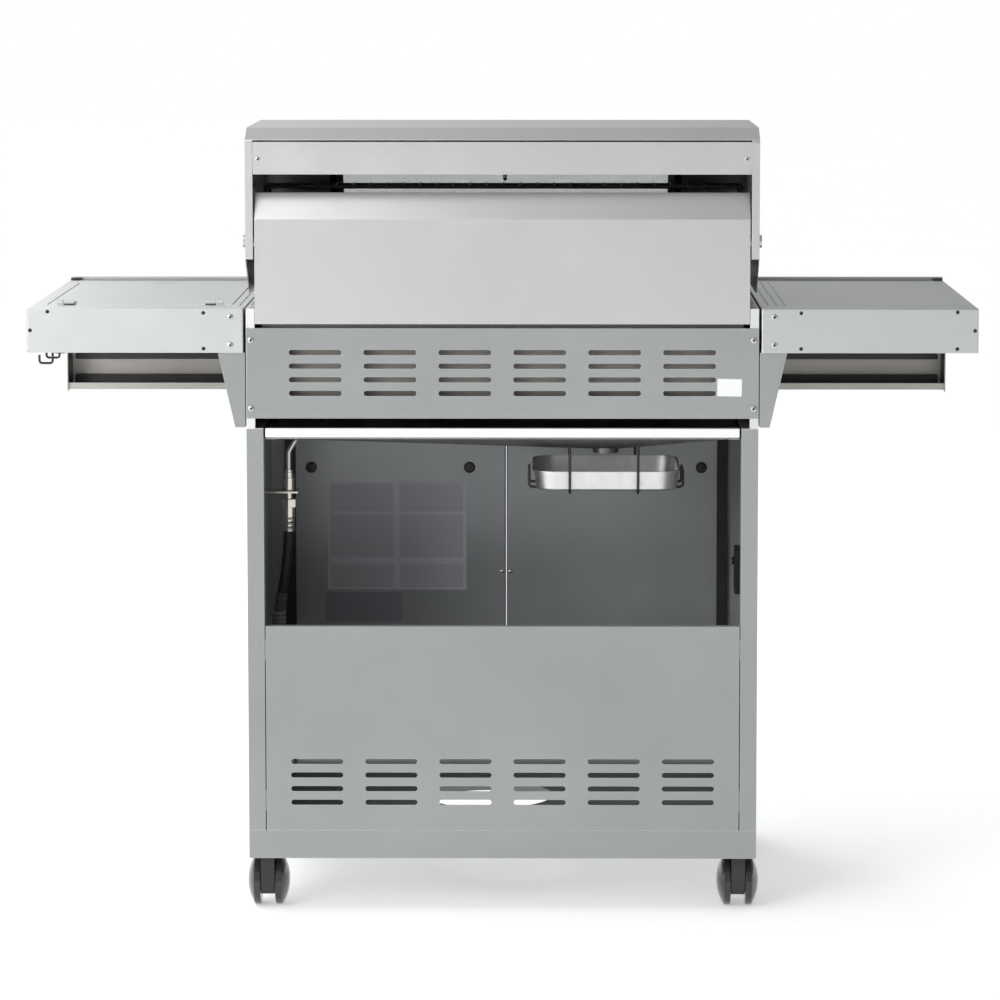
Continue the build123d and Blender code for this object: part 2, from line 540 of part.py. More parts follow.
with BuildPart() as gas_inlet_fitting:
    rod((*GAS_LINE, 547), (*GAS_LINE, 562), 9)
    with BuildSketch(Plane.XY.offset(562)):
        with Locations(GAS_LINE):
            RegularPolygon(12, 6, rotation=30)
    extrude(amount=12)
    rod((*GAS_LINE, 574), (*GAS_LINE, 618), 6)
    rod((*GAS_LINE, 587), (*GAS_LINE, 606), 8.5)
    block((305, BODY_HALF - SHEET), (GAS_LINE[1] - 18, GAS_LINE[1] + 18), (584.5, 587))
    rod((*GAS_LINE, 606), (*GAS_LINE, 614), 7)
save(gas_inlet_fitting.part, "gas_inlet_fitting")

hose_radii = []
for before, corner, after in zip(HOSE_ROUTE, HOSE_ROUTE[1:], HOSE_ROUTE[2:]):
    run_in = Vector(*corner) - Vector(*before)
    run_out = Vector(*after) - Vector(*corner)
    half_turn = radians(run_in.get_angle(run_out)) / 2
    hose_radii.append(0.45 * min(run_in.length, run_out.length) / tan(half_turn))

with BuildPart() as gas_hose:
    bent_rod(HOSE_ROUTE, HOSE_R, hose_radii)
save(gas_hose.part, "gas_hose")
with BuildLine() as hose_line:
    FilletPolyline(*HOSE_ROUTE, radius=hose_radii)
hose_length = hose_line.wires()[0].length
print("hose radii", [round(r) for r in hose_radii], "length", round(hose_length, 1),
      "volume ratio", round(gas_hose.part.volume / (pi * HOSE_R**2 * hose_length), 4))

REG_BODY_Z = 356.0
REG_BODY_R = 27.0
NUT_Z = (298.0, 330.0)

with BuildPart() as regulator:
    rod((*REGULATOR, 380), (*REGULATOR, 407), 8)
    for z in (390, 396, 402):
        rod((*REGULATOR, z), (*REGULATOR, z + 4), 10.5)
    rod((REGULATOR[0], REGULATOR[1] - 16, REG_BODY_Z), (REGULATOR[0], REGULATOR[1] + 16, REG_BODY_Z),
        REG_BODY_R)
    rod((REGULATOR[0], REGULATOR[1] + 15, REG_BODY_Z), (REGULATOR[0], REGULATOR[1] + 24, REG_BODY_Z), 18)
    rod((*REGULATOR, NUT_Z[0]), (*REGULATOR, NUT_Z[1] + 4), 21)
    with Locations(Plane(origin=(*REGULATOR, NUT_Z[0]))):
        with PolarLocations(21, 16):
            Cylinder(1.6, 26, align=(Align.CENTER, Align.CENTER, Align.MIN))
    rod((*REGULATOR, NUT_Z[0] - 1), (*REGULATOR, NUT_Z[0] + 18), TANK_NUT_R, Mode.SUBTRACT)
save(regulator.part, "regulator")

with BuildPart() as igniter_module:
    block((SHEET - BODY_HALF, -352), (-165, -115), (401, 471))
    fillet(igniter_module.edges().filter_by(Axis.X), 3)
    rod((-352, -140, 450), (-348, -140, 450), 6)
save(igniter_module.part, "igniter_module")

with BuildPart() as door_magnets:
    for side in (-1, 1):
        block((side * 12, side * 44), (-202, -188), (686, RAIL_Z[0]))
    fillet(door_magnets.edges().filter_by(Axis.Z), 2)
save(door_magnets.part, "door_magnets")

# ---- Lid -------------------------------------------------------------------------
slope = (SLOPE_FOOT - SLOPE_TOP).normalized()
slope_normal = slope.cross(Vector(1, 0, 0))
WINDOW_X = 256.0
WINDOW_DOWN = (95.0, 219.0)  # distances down the slope
DIAL_DOWN = 72.5
CHEEK_FLANGE = 354.0
PANEL_GAP_Z = 1113.0
LID_PANEL_Z = (1067.0, PANEL_GAP_Z)


def on_slope(x, down, lift=0.0):
    """A point of the sloping front, lifted off it by a distance."""
    return SLOPE_TOP + Vector(x, 0, 0) + slope * down + slope_normal * lift


def slope_at(down, lift=0.0):
    """A plane that lies on the sloping front, a distance down it."""
    return Plane(origin=on_slope(0, down, lift), x_dir=(1, 0, 0), z_dir=slope_normal)


with BuildPart() as lid_shell:
    with BuildSketch(Plane.YZ):
        with BuildLine():
            FilletPolyline(*LID_OUTLINE, radius=LID_BENDS, close=True)
        make_face()
    extrude(amount=BODY_HALF, both=True)
    with BuildSketch(Plane.YZ):
        with BuildLine():
            FilletPolyline(*LID_OUTLINE, radius=LID_BENDS, close=True)
        make_face()
        offset(amount=-SHEET)
    extrude(amount=BODY_HALF - SHEET, both=True, mode=Mode.SUBTRACT)
    prism(Plane.YZ, [(REAR - SHEET, 940), (REAR - SHEET, 948), (212, 897), (-222, 897), (-226, 890),
                     (215, 890)], BODY_HALF - SHEET, Mode.SUBTRACT, both=True)
    block((-CHEEK_FLANGE, CHEEK_FLANGE), (REAR - 2 * SHEET, REAR + 1), (935, PANEL_GAP_Z + 2.6), Mode.SUBTRACT)
    for side in (-1, 1):
        block((side * 340, side * (BODY_HALF - SHEET)), (REAR - 2 * SHEET, REAR - SHEET), (1074, 1108))
        rod((side * 362, PIVOT_Y, PIVOT_Z), (side * 366, PIVOT_Y, PIVOT_Z), PIVOT_R + RUNNING, Mode.SUBTRACT)
    with BuildSketch(slope_at(sum(WINDOW_DOWN) / 2)):
        RectangleRounded(2 * WINDOW_X, WINDOW_DOWN[1] - WINDOW_DOWN[0], 12)
    extrude(amount=5, both=True, mode=Mode.SUBTRACT)
    rod(on_slope(0, DIAL_DOWN, -4), on_slope(0, DIAL_DOWN, 4), 10, Mode.SUBTRACT)
save(lid_shell.part, "lid_shell")

with BuildPart() as lid_rear_panel:
    block((-CHEEK_FLANGE + GAP, CHEEK_FLANGE - GAP), (REAR - SHEET, REAR), LID_PANEL_Z)
    block((-CHEEK_FLANGE + GAP, CHEEK_FLANGE - GAP), (REAR - 12, REAR), (LID_PANEL_Z[0], LID_PANEL_Z[0] + SHEET))
save(lid_rear_panel.part, "lid_rear_panel")

FRAME_SIZE = (2 * WINDOW_X + 24, WINDOW_DOWN[1] - WINDOW_DOWN[0] + 18)
FRAME_HOLE = (2 * WINDOW_X - 18, WINDOW_DOWN[1] - WINDOW_DOWN[0] - 18)
frame_top = slope_at(sum(WINDOW_DOWN) / 2, -SHEET)

with BuildPart() as window_frame:
    with BuildSketch(frame_top):
        RectangleRounded(*FRAME_SIZE, 12)
        RectangleRounded(*FRAME_HOLE, 8, mode=Mode.SUBTRACT)
    extrude(amount=-3)
    with BuildSketch(frame_top.offset(-7)):
        with GridLocations(400, FRAME_HOLE[1] + 22, 2, 2):
            Rectangle(20, 12)
    extrude(amount=-1.2)
    with BuildSketch(frame_top.offset(-3)):
        with GridLocations(400, FRAME_HOLE[1] + 30, 2, 2):
            Rectangle(20, 3)
    extrude(amount=-5.2)
save(window_frame.part, "window_frame")

with BuildPart() as window_glass:
    with BuildSketch(frame_top.offset(-3)):
        RectangleRounded(FRAME_HOLE[0] + 20, FRAME_HOLE[1] + 18, 6)
    extrude(amount=-4)
save(window_glass.part, "window_glass")

HANDLE_POST_X = 235.0
HANDLE_R = 11.0
face_normal = Vector(0, -67.0, 20.0).normalized()
post_foot = Vector(0, -205.0 - 20.0 * 0.56, 960.0 - 67.0 * 0.56)
handle_centre = post_foot + face_normal * ((274 + post_foot.Y) / -face_normal.Y)

with BuildPart() as lid_handle:
    rod((-262, handle_centre.Y, handle_centre.Z), (262, handle_centre.Y, handle_centre.Z), HANDLE_R)
    fillet(lid_handle.edges(), 3)
    for side in (-1, 1):
        across = Vector(side * HANDLE_POST_X, 0, 0)
        rod(tuple(post_foot + across), tuple(handle_centre + across), 8)
        rod(tuple(post_foot + across), tuple(post_foot + across + face_normal * 4), 14)
save(lid_handle.part, "lid_handle")

CASE_R = 34.0
DIAL_FLOOR = 5.0

with BuildPart() as thermometer_case:
    rod(on_slope(0, DIAL_DOWN), on_slope(0, DIAL_DOWN, 12), CASE_R)
    fillet(thermometer_case.edges().sort_by(SortBy.DISTANCE)[-1:], 3)
    rod(on_slope(0, DIAL_DOWN, DIAL_FLOOR), on_slope(0, DIAL_DOWN, 13), CASE_R - 5, Mode.SUBTRACT)
    rod(on_slope(0, DIAL_DOWN, DIAL_FLOOR), on_slope(0, DIAL_DOWN, 9), 1.5)
    rod(on_slope(0, DIAL_DOWN, -SHEET), on_slope(0, DIAL_DOWN, 0), 9.5)
    rod(on_slope(0, DIAL_DOWN, -6), on_slope(0, DIAL_DOWN, -SHEET), 12.5)
    rod(on_slope(0, DIAL_DOWN, -54), on_slope(0, DIAL_DOWN, -6), 3)
save(thermometer_case.part, "thermometer_case")

NEEDLE_ANGLE = 225.0        # rest position, at the cold end of the dial

with BuildPart() as thermometer_needle:
    with BuildSketch(slope_at(DIAL_DOWN, 6.6)):
        Circle(4)
        with Locations(Rotation(0, 0, NEEDLE_ANGLE)):
            Polygon((0, -1.6), (24, -0.4), (24, 0.4), (0, 1.6), align=None)
    extrude(amount=0.8)
    rod(on_slope(0, DIAL_DOWN, 6), on_slope(0, DIAL_DOWN, 10), 1.5 + RUNNING, Mode.SUBTRACT)
save(thermometer_needle.part, "thermometer_needle")


# ---- Doors --------------------------------------------------------------------------
def door(side):
    """A hollow cart door with drain holes below and a pivot pin at top and bottom."""
    with BuildPart() as leaf:
        block((side * DOOR_X[0], side * DOOR_X[1]), DOOR_Y, DOOR_Z)
        fillet(leaf.edges().filter_by(Axis.Z), 3)
        block((side * (DOOR_X[0] + 1.2), side * (DOOR_X[1] - 1.2)), (DOOR_Y[0] + 1.2, DOOR_Y[1] - 1.2),
              (DOOR_Z[0] + 1.2, DOOR_Z[1] - 1.2), Mode.SUBTRACT)
        for x in (80, 250):
            rod((side * x, -214, DOOR_Z[0] - 1), (side * x, -214, DOOR_Z[0] + 3), 4, Mode.SUBTRACT)
        pin = (side * DOOR_PIN[0], DOOR_PIN[1])
        rod((*pin, BASE_Z[1] - 4), (*pin, DOOR_Z[0] + 1), DOOR_PIN_R)
        rod((*pin, DOOR_Z[1] - 1), (*pin, RAIL_Z[0] + SHEET), DOOR_PIN_R)
    return leaf.part


def door_handle(side):
    """A horizontal bar on two posts, across the top of a door."""
    bar_y = DOOR_Y[0] - 34
    with BuildPart() as handle:
        rod((side * 42, bar_y, 586), (side * 318, bar_y, 586), 7)
        fillet(handle.edges(), 2)
        for x in (57, 303):
            rod((side * x, DOOR_Y[0], 586), (side * x, bar_y, 586), 5)
            rod((side * x, DOOR_Y[0], 586), (side * x, DOOR_Y[0] - 3, 586), 9)
    return handle.part


for side_name, side in (("left", -1), ("right", 1)):
    save(door(side), "door_" + side_name)
    save(door_handle(side), "door_handle_" + side_name)

# ---- Grease tray, its hanger and the cup -----------------------------------------------
TRAY_Y = (-180.0, REAR)
FUNNEL_X = 322.0
FUNNEL_Y = (-178.0, 268.0)
FUNNEL_Z = (648.0, 688.0)
FUNNEL_SHEET = 1.3
LIP_Z = (692.0, 705.0)


def funnel(lift, mode):
    """A four-sided funnel from the tray's rim down to its outlet."""
    with BuildSketch(Plane.XY.offset(FUNNEL_Z[1] + lift), mode=Mode.PRIVATE) as mouth:
        with Locations((0, sum(FUNNEL_Y) / 2)):
            Rectangle(2 * FUNNEL_X, FUNNEL_Y[1] - FUNNEL_Y[0])
    with BuildSketch(Plane.XY.offset(FUNNEL_Z[0] + lift), mode=Mode.PRIVATE) as outlet:
        with Locations(TRAY_OUTLET):
            Rectangle(44, 44)
    loft([mouth.sketch.faces()[0], outlet.sketch.faces()[0]], mode=mode)


with BuildPart() as grease_tray:
    block((-TRAY_HALF, TRAY_HALF), (TRAY_Y[0], 269.5), (FUNNEL_Z[1], FUNNEL_Z[1] + FUNNEL_SHEET))
    funnel(0, Mode.ADD)
    for side in (-1, 1):
        block((side * (TRAY_HALF - SHEET), side * TRAY_HALF), (TRAY_Y[0], 269.5), (FUNNEL_Z[1], 700))
    block((-TRAY_HALF, TRAY_HALF), (TRAY_Y[0], TRAY_Y[0] + SHEET), (FUNNEL_Z[1], 700))
    block((-TRAY_HALF, TRAY_HALF), (268, 269.5), (FUNNEL_Z[1], LIP_Z[1]))
    block((-TRAY_HALF, TRAY_HALF), (268, REAR), (LIP_Z[1] - SHEET, LIP_Z[1]))
    with BuildSketch(Plane.XZ.offset(-REAR)):
        with Locations((0, sum(LIP_Z) / 2)):
            Rectangle(2 * TRAY_HALF, LIP_Z[1] - LIP_Z[0])
    extrude(amount=SHEET)
    fillet(grease_tray.faces().sort_by(Axis.Y)[-1].edges().filter_by(Axis.X).sort_by(Axis.Z)[-1:], 1.0)
    rod((*TRAY_OUTLET, 640), (*TRAY_OUTLET, 650), 19.5)
    funnel(FUNNEL_SHEET, Mode.SUBTRACT)
    rod((*TRAY_OUTLET, 639), (*TRAY_OUTLET, 652), 18, Mode.SUBTRACT)
save(grease_tray.part, "grease_tray")

HANGER_R = 2.0
CUP_Y = (TRAY_OUTLET[1] - CUP_SIZE[1] / 2, TRAY_OUTLET[1] + CUP_SIZE[1] / 2)
CUP_X = (TRAY_OUTLET[0] - CUP_SIZE[0] / 2, TRAY_OUTLET[0] + CUP_SIZE[0] / 2)
HANGER_GAP = 5.0            # clear space between the cup and the wires around it
CRADLE_Z = 591.6
CRADLE_TOP = 616.0

with BuildPart() as cup_hanger:
    near_y = CUP_Y[1] + HANGER_GAP
    far_y = CUP_Y[0] - HANGER_GAP
    for x in HANGER_WIRE_X:
        bent_rod([(x, near_y, 664.5), (x, near_y, CRADLE_Z), (x, far_y, CRADLE_Z), (x, far_y, 664.5)],
                 HANGER_R, 8)
    left_x = CUP_X[0] - HANGER_GAP
    right_x = CUP_X[1] + HANGER_GAP
    for y in (TRAY_OUTLET[1] + 30, TRAY_OUTLET[1] - 30):
        bent_rod([(left_x, y, CRADLE_TOP), (left_x, y, CRADLE_Z), (right_x, y, CRADLE_Z),
                  (right_x, y, CRADLE_TOP)], HANGER_R, 5)
    for x in (left_x, right_x):
        rod((x, TRAY_OUTLET[1] - 30, CRADLE_TOP), (x, TRAY_OUTLET[1] + 30, CRADLE_TOP), HANGER_R)
save(cup_hanger.part, "cup_hanger")

with BuildPart() as grease_cup:
    with BuildSketch(Plane.XY.offset(CUP_HEIGHT[1])):
        with Locations(TRAY_OUTLET):
            RectangleRounded(CUP_SIZE[0] - 4, CUP_SIZE[1] - 4, 30)
    extrude(amount=CUP_HEIGHT[0] - CUP_HEIGHT[1], taper=8)
    fillet(grease_cup.faces().sort_by(Axis.Z)[0].edges(), 4)
    with BuildSketch(Plane.XY.offset(CUP_HEIGHT[1])):
        with Locations(TRAY_OUTLET):
            RectangleRounded(CUP_SIZE[0] - 6, CUP_SIZE[1] - 6, 29)
    extrude(amount=CUP_HEIGHT[0] - CUP_HEIGHT[1] + 1, taper=8, mode=Mode.SUBTRACT)
    with BuildSketch(Plane.XY.offset(CUP_HEIGHT[1])):
        with Locations(TRAY_OUTLET):
            RectangleRounded(*CUP_SIZE, 32)
            RectangleRounded(CUP_SIZE[0] - 6, CUP_SIZE[1] - 6, 29, mode=Mode.SUBTRACT)
    extrude(amount=-1.2)
save(grease_cup.part, "grease_cup")


# ---- Knobs ----------------------------------------------------------------------------------
def knob(x):
    """A control knob with a skirt, a tapered grip and a blind bore for its stem."""
    back = PANEL_FRONT - GAP
    with BuildPart() as body:
        with BuildSketch(Plane.XZ.offset(-back)):
            with Locations((x, BURNER_Z)):
                Circle(26)
        extrude(amount=7)
        fillet(body.edges().group_by(Axis.Y)[0], 2)
        with BuildSketch(Plane.XZ.offset(6 - back)):
            with Locations((x, BURNER_Z)):
                Circle(20)
        extrude(amount=12, taper=4)
        with BuildSketch(Plane.XZ.offset(6 - back)):
            with Locations((x, BURNER_Z)):
                SlotOverall(40, 12, rotation=90)
        extrude(amount=24, taper=3)
        fillet(body.faces().sort_by(Axis.Y)[0].edges(), 1.5)
        rod((x, back + 1, BURNER_Z), (x, STEM_END - GAP, BURNER_Z), STEM_R + RUNNING, Mode.SUBTRACT)
    return body.part


for number, x in enumerate((*BURNER_X, SIDE_BURNER[0]), start=1):
    save(knob(x), "knob_" + str(number))

# ---- Casters ----------------------------------------------------------------------------------
AXLE_R = 4.0
HOOD_HALF = 10.0
WHEEL_INNER = 10.6
WHEEL_OUTER = 30.0
TREAD_END = 19.6
HUB_R = 8.0


def caster_body(x, stem_y):
    """The fork between the twin wheels, with its hood, collar and stem."""
    axle_y = stem_y - CASTER_TRAIL
    with BuildPart() as body:
        with BuildSketch(Plane.YZ.offset(x)):
            with BuildLine():
                Polyline((stem_y + 13, 79), (stem_y + 13, 66), (axle_y + 34, 37), (axle_y + 26, 20),
                         (axle_y - 26, 20), (axle_y - 34, 37), (axle_y - 22, 66), (axle_y, 76), (stem_y - 13, 79),
                         close=True)
            make_face()
        extrude(amount=HOOD_HALF, both=True)
        fillet(body.edges().filter_by(Axis.X), 2.5)
        rod((x, stem_y, 74), (x, stem_y, 80.5), 12)
        rod((x, stem_y, 80), (x, stem_y, BASE_Z[1] - 6), CASTER_PIN_R)
        rod((x - 15, axle_y, WHEEL_R), (x + 15, axle_y, WHEEL_R), AXLE_R + RUNNING, Mode.SUBTRACT)
    return body.part


def caster_wheels(x, stem_y):
    """Twin wheels with domed outer faces on their axle."""
    axle = Plane(origin=(x, stem_y - CASTER_TRAIL, WHEEL_R), x_dir=(0, 0, 1), z_dir=(0, 1, 0))
    with BuildPart() as wheels:
        with BuildSketch(axle):
            with BuildLine():
                Polyline((0, 0), (AXLE_R, 0), (AXLE_R, WHEEL_INNER), (WHEEL_R - 1, WHEEL_INNER),
                         (WHEEL_R, WHEEL_INNER + 1), (WHEEL_R, TREAD_END), (WHEEL_R - 3, TREAD_END + 2))
                Spline((WHEEL_R - 3, TREAD_END + 2), (WHEEL_R * 0.62, WHEEL_OUTER - 3.4), (HUB_R, WHEEL_OUTER))
                Polyline((HUB_R, WHEEL_OUTER), (0, WHEEL_OUTER), (0, 0))
            make_face()
        revolve(axis=Axis((x, stem_y - CASTER_TRAIL, WHEEL_R), (1, 0, 0)))
        mirror(about=Plane.YZ.offset(x))
    return wheels.part


corners = (("rear_left", -1, 0), ("rear_right", 1, 0), ("front_left", -1, 1), ("front_right", 1, 1))
for corner, side, end in corners:
    save(caster_body(side * CASTER_X, CASTER_Y[end]), "caster_body_" + corner)
    save(caster_wheels(side * CASTER_X, CASTER_Y[end]), "caster_wheels_" + corner)
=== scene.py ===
"""Looks for the gas barbecue grill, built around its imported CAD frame."""

import json
import math

import bmesh
import bpy
from mathutils import Matrix, Vector


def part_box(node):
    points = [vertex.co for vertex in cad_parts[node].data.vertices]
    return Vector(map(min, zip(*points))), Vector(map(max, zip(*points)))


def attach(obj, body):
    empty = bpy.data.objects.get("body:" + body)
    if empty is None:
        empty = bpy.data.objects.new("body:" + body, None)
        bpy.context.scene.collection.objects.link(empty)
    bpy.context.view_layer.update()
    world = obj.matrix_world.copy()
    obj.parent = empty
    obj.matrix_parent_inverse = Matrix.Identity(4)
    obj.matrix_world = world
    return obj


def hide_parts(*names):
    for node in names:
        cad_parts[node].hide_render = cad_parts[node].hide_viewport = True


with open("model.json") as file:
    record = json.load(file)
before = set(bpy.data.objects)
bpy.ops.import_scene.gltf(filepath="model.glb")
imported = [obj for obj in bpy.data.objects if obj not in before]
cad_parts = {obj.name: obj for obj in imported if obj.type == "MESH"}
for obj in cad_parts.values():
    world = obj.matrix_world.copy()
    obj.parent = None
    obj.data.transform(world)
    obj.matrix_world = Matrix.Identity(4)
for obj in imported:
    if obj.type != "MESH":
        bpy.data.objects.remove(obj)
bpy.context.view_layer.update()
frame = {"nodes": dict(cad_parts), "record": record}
MM = 0.001
SIDES = (-1, 1)


# ---- Node helpers ------------------------------------------------------------
class Shader:
    """A small builder for one node material."""

    def __init__(self, name):
        """Start a material of that name, with its own space in metres as the place of every noise."""
        self.material = bpy.data.materials.new(name)
        self.material.use_nodes = True
        self.nodes = self.material.node_tree.nodes
        self.links = self.material.node_tree.links
        self.bsdf = self.nodes["Principled BSDF"]
        self.place = self.nodes.new("ShaderNodeTexCoord").outputs["Object"]

    def split(self, vector):
        """The node that splits a vector into X, Y and Z."""
        node = self.nodes.new("ShaderNodeSeparateXYZ")
        self.links.new(vector, node.inputs[0])
        return node

    def set(self, name, value):
        """Set or link an input of the main shader."""
        socket = self.bsdf.inputs[name]
        if isinstance(value, bpy.types.NodeSocket):
            self.links.new(value, socket)
        else:
            socket.default_value = value

    def noise(self, scale, detail=3.0, rough=0.5, stretch=None):
        """Noise in metres, stretched by a vector of scales where one is given."""
        place = self.place
        if stretch:
            mapping = self.nodes.new("ShaderNodeMapping")
            mapping.inputs["Scale"].default_value = stretch
            self.links.new(place, mapping.inputs["Vector"])
            place = mapping.outputs["Vector"]
        node = self.nodes.new("ShaderNodeTexNoise")
        node.inputs["Scale"].default_value = scale
        node.inputs["Detail"].default_value = detail
        node.inputs["Roughness"].default_value = rough
        self.links.new(place, node.inputs["Vector"])
        return node.outputs["Fac"]

    def ramp(self, fac, stops):
        """A colour ramp; stops are (position, value or colour)."""
        node = self.nodes.new("ShaderNodeValToRGB")
        ramp = node.color_ramp
        while len(ramp.elements) < len(stops):
            ramp.elements.new(0.5)
        for element, (position, value) in zip(ramp.elements, stops):
            element.position = position
            colour = value if hasattr(value, "__len__") else (value, value, value)
            element.color = (*colour, 1.0)
        self.links.new(fac, node.inputs["Fac"])
        return node.outputs["Color"]

    def mix(self, fac, a, b):
        """Mix two colours."""
        node = self.nodes.new("ShaderNodeMix")
        node.data_type = "RGBA"
        for index, value in ((0, fac), (6, a), (7, b)):
            if isinstance(value, bpy.types.NodeSocket):
                self.links.new(value, node.inputs[index])
            elif index == 0:
                node.inputs[0].default_value = value
            else:
                node.inputs[index].default_value = (*value, 1.0)
        return node.outputs[2]

    def math(self, operation, a, b=0.5):
        """One math node."""
        node = self.nodes.new("ShaderNodeMath")
        node.operation = operation
        for index, value in ((0, a), (1, b)):
            if isinstance(value, bpy.types.NodeSocket):
                self.links.new(value, node.inputs[index])
            else:
                node.inputs[index].default_value = value
        return node.outputs[0]

    def bump(self, heights, edge=0.0):
        """Chain bumps of (height socket, strength, distance), over rounded edges where edge is a radius."""
        normal = None
        if edge:
            bevel = self.nodes.new("ShaderNodeBevel")
            bevel.samples = 4
            bevel.inputs["Radius"].default_value = edge
            normal = bevel.outputs["Normal"]
        for height, strength, distance in heights:
            node = self.nodes.new("ShaderNodeBump")
            node.inputs["Strength"].default_value = strength
            node.inputs["Distance"].default_value = distance
            self.links.new(height, node.inputs["Height"])
            if normal:
                self.links.new(normal, node.inputs["Normal"])
            normal = node.outputs["Normal"]
        self.links.new(normal, self.bsdf.inputs["Normal"])

    def edge_mask(self, radius, low=0.9, high=0.99):
        """1 along convex and concave edges, 0 on flats, from the bevelled normal."""
        bevel = self.nodes.new("ShaderNodeBevel")
        bevel.samples = 4
        bevel.inputs["Radius"].default_value = radius
        geometry = self.nodes.new("ShaderNodeNewGeometry")
        dot = self.nodes.new("ShaderNodeVectorMath")
        dot.operation = "DOT_PRODUCT"
        self.links.new(bevel.outputs["Normal"], dot.inputs[0])
        self.links.new(geometry.outputs["Normal"], dot.inputs[1])
        return self.ramp(dot.outputs["Value"], [(low, 1.0), (high, 0.0)])


# ---- Materials -----------------------------------------------------------------
BACK_TOP = 0.872            # height above which a steel plate is polished on its back as well


def brushed(name, colour, rough, along="X", tone=0.06, back=None, painted_lip_highlight=None):
    """Brushed steel: fine lines along one axis, cloudy tone, faint fingermarks, and edges painted brighter
    as a painted highlight.

    back is the colour of the unpolished side that faces the rear, up to BACK_TOP, where there is one.
    painted_lip_highlight is the Y behind which the steel is painted brighter as a highlight, and that
    colour.
    """
    s = Shader(name)
    fine = {"X": (1.5, 60.0, 60.0), "Y": (60.0, 1.5, 60.0), "Z": (60.0, 60.0, 1.5)}[along]
    lines = s.noise(28.0, 6.0, 0.65, fine)
    hair = s.noise(90.0, 2.0, 0.6, fine)
    clouds = s.noise(2.2, 4.0, 0.6)
    smears = s.noise(9.0, 5.0, 0.7)
    dark = tuple(c * (1.0 - tone) for c in colour)
    light = tuple(min(1.0, c * (1.0 + tone)) for c in colour)
    tint = s.ramp(clouds, [(0.3, dark), (0.7, light)])
    streak = s.ramp(lines, [(0.3, tuple(c * 0.93 for c in colour)), (0.7, light)])
    shade = s.mix(0.45, tint, streak)
    # Painted highlight: the edges are mixed towards a pale grey, standing in for light caught along them.
    shade = s.mix(s.math("MULTIPLY", s.edge_mask(0.0011), 0.7), shade, (0.86, 0.86, 0.85))
    # A painted highlight: steel behind the given Y takes a near-white colour, standing in for light along
    # the tray's lip.
    if painted_lip_highlight:
        shade = s.mix(s.math("GREATER_THAN", s.split(s.place).outputs["Y"], painted_lip_highlight[0]), shade, painted_lip_highlight[1])
    if back:
        normal = s.split(s.nodes.new("ShaderNodeTexCoord").outputs["Normal"])
        facing = s.ramp(normal.outputs["Y"], [(0.45, 0.0), (0.55, 1.0)])
        behind = s.math("MULTIPLY", facing, s.math("LESS_THAN", s.split(s.place).outputs["Z"], BACK_TOP))
        dull = s.ramp(clouds, [(0.3, tuple(c * 0.9 for c in back)), (0.7, tuple(c * 1.1 for c in back))])
        shade = s.mix(behind, shade, dull)
        s.set("Metallic", s.math("SUBTRACT", 1.0, s.math("MULTIPLY", behind, 0.75)))
    else:
        s.set("Metallic", 1.0)
    s.set("Base Color", shade)
    base = s.math("MULTIPLY", hair, 0.16)
    smudge = s.math("MULTIPLY", s.ramp(smears, [(0.52, 0.0), (0.7, 1.0)]), 0.07)
    s.set("Roughness", s.math("ADD", s.math("ADD", base, rough - 0.08), smudge))
    s.bump([(lines, 0.10, 0.0004), (hair, 0.06, 0.0002)], edge=0.0007)
    return s.material


def painted(name, colour, rough, grain=1400.0, strength=0.10, coat=0.0, wear_and_edge_highlight=None):
    """Sprayed or powder-coated metal: orange peel, cloudy tone, dust specks, and edges painted lighter in
    dusty patches, partly wear and partly a painted highlight.
    """
    s = Shader(name)
    peel = s.noise(grain, 2.0, 0.5)
    clouds = s.noise(3.0, 4.0, 0.6)
    dust = s.noise(40.0, 6.0, 0.75)
    dark = tuple(c * 0.93 for c in colour)
    light = tuple(min(1.0, c * 1.07) for c in colour)
    tint = s.ramp(clouds, [(0.3, dark), (0.7, light)])
    speck = s.ramp(dust, [(0.62, 0.0), (0.78, 0.35)])
    shade = s.mix(speck, tint, tuple(c * 0.85 for c in colour))
    if wear_and_edge_highlight:
        # Lighter edges: partly wear, partly a painted highlight along the edges.
        worn_and_lit = s.math("MULTIPLY", s.edge_mask(0.0012), s.ramp(dust, [(0.3, 0.35), (0.6, 0.95)]))
        shade = s.mix(worn_and_lit, shade, wear_and_edge_highlight)
    s.set("Base Color", shade)
    s.set("Roughness", s.math("ADD", s.math("MULTIPLY", dust, 0.14), rough - 0.07))
    s.set("Coat Weight", coat)
    s.set("Coat Roughness", 0.18)
    s.bump([(peel, strength, 0.0003)], edge=0.0008)
    return s.material


def moulded(name, colour, rough, grain=2200.0, strength=0.08, coat=0.0):
    """Moulded plastic or rubber: fine texture, slight flow marks and scuffs."""
    s = Shader(name)
    fine = s.noise(grain, 2.0, 0.6)
    flow = s.noise(14.0, 5.0, 0.6, (1.0, 1.0, 3.0))
    scuff = s.noise(160.0, 4.0, 0.8, (1.0, 6.0, 1.0))
    dark = tuple(c * 0.85 for c in colour)
    light = tuple(min(1.0, c * 1.25 + 0.004) for c in colour)
    tint = s.ramp(flow, [(0.3, dark), (0.7, light)])
    mark = s.ramp(scuff, [(0.66, 0.0), (0.8, 0.5)])
    s.set("Base Color", s.mix(mark, tint, tuple(min(1.0, c * 1.8 + 0.02) for c in colour)))
    s.set("Roughness", s.math("ADD", s.math("MULTIPLY", flow, 0.16), rough - 0.08))
    s.set("Coat Weight", coat)
    s.set("Coat Roughness", 0.1)
    s.bump([(fine, strength, 0.0002), (scuff, 0.04, 0.0002)], edge=0.0006)
    return s.material


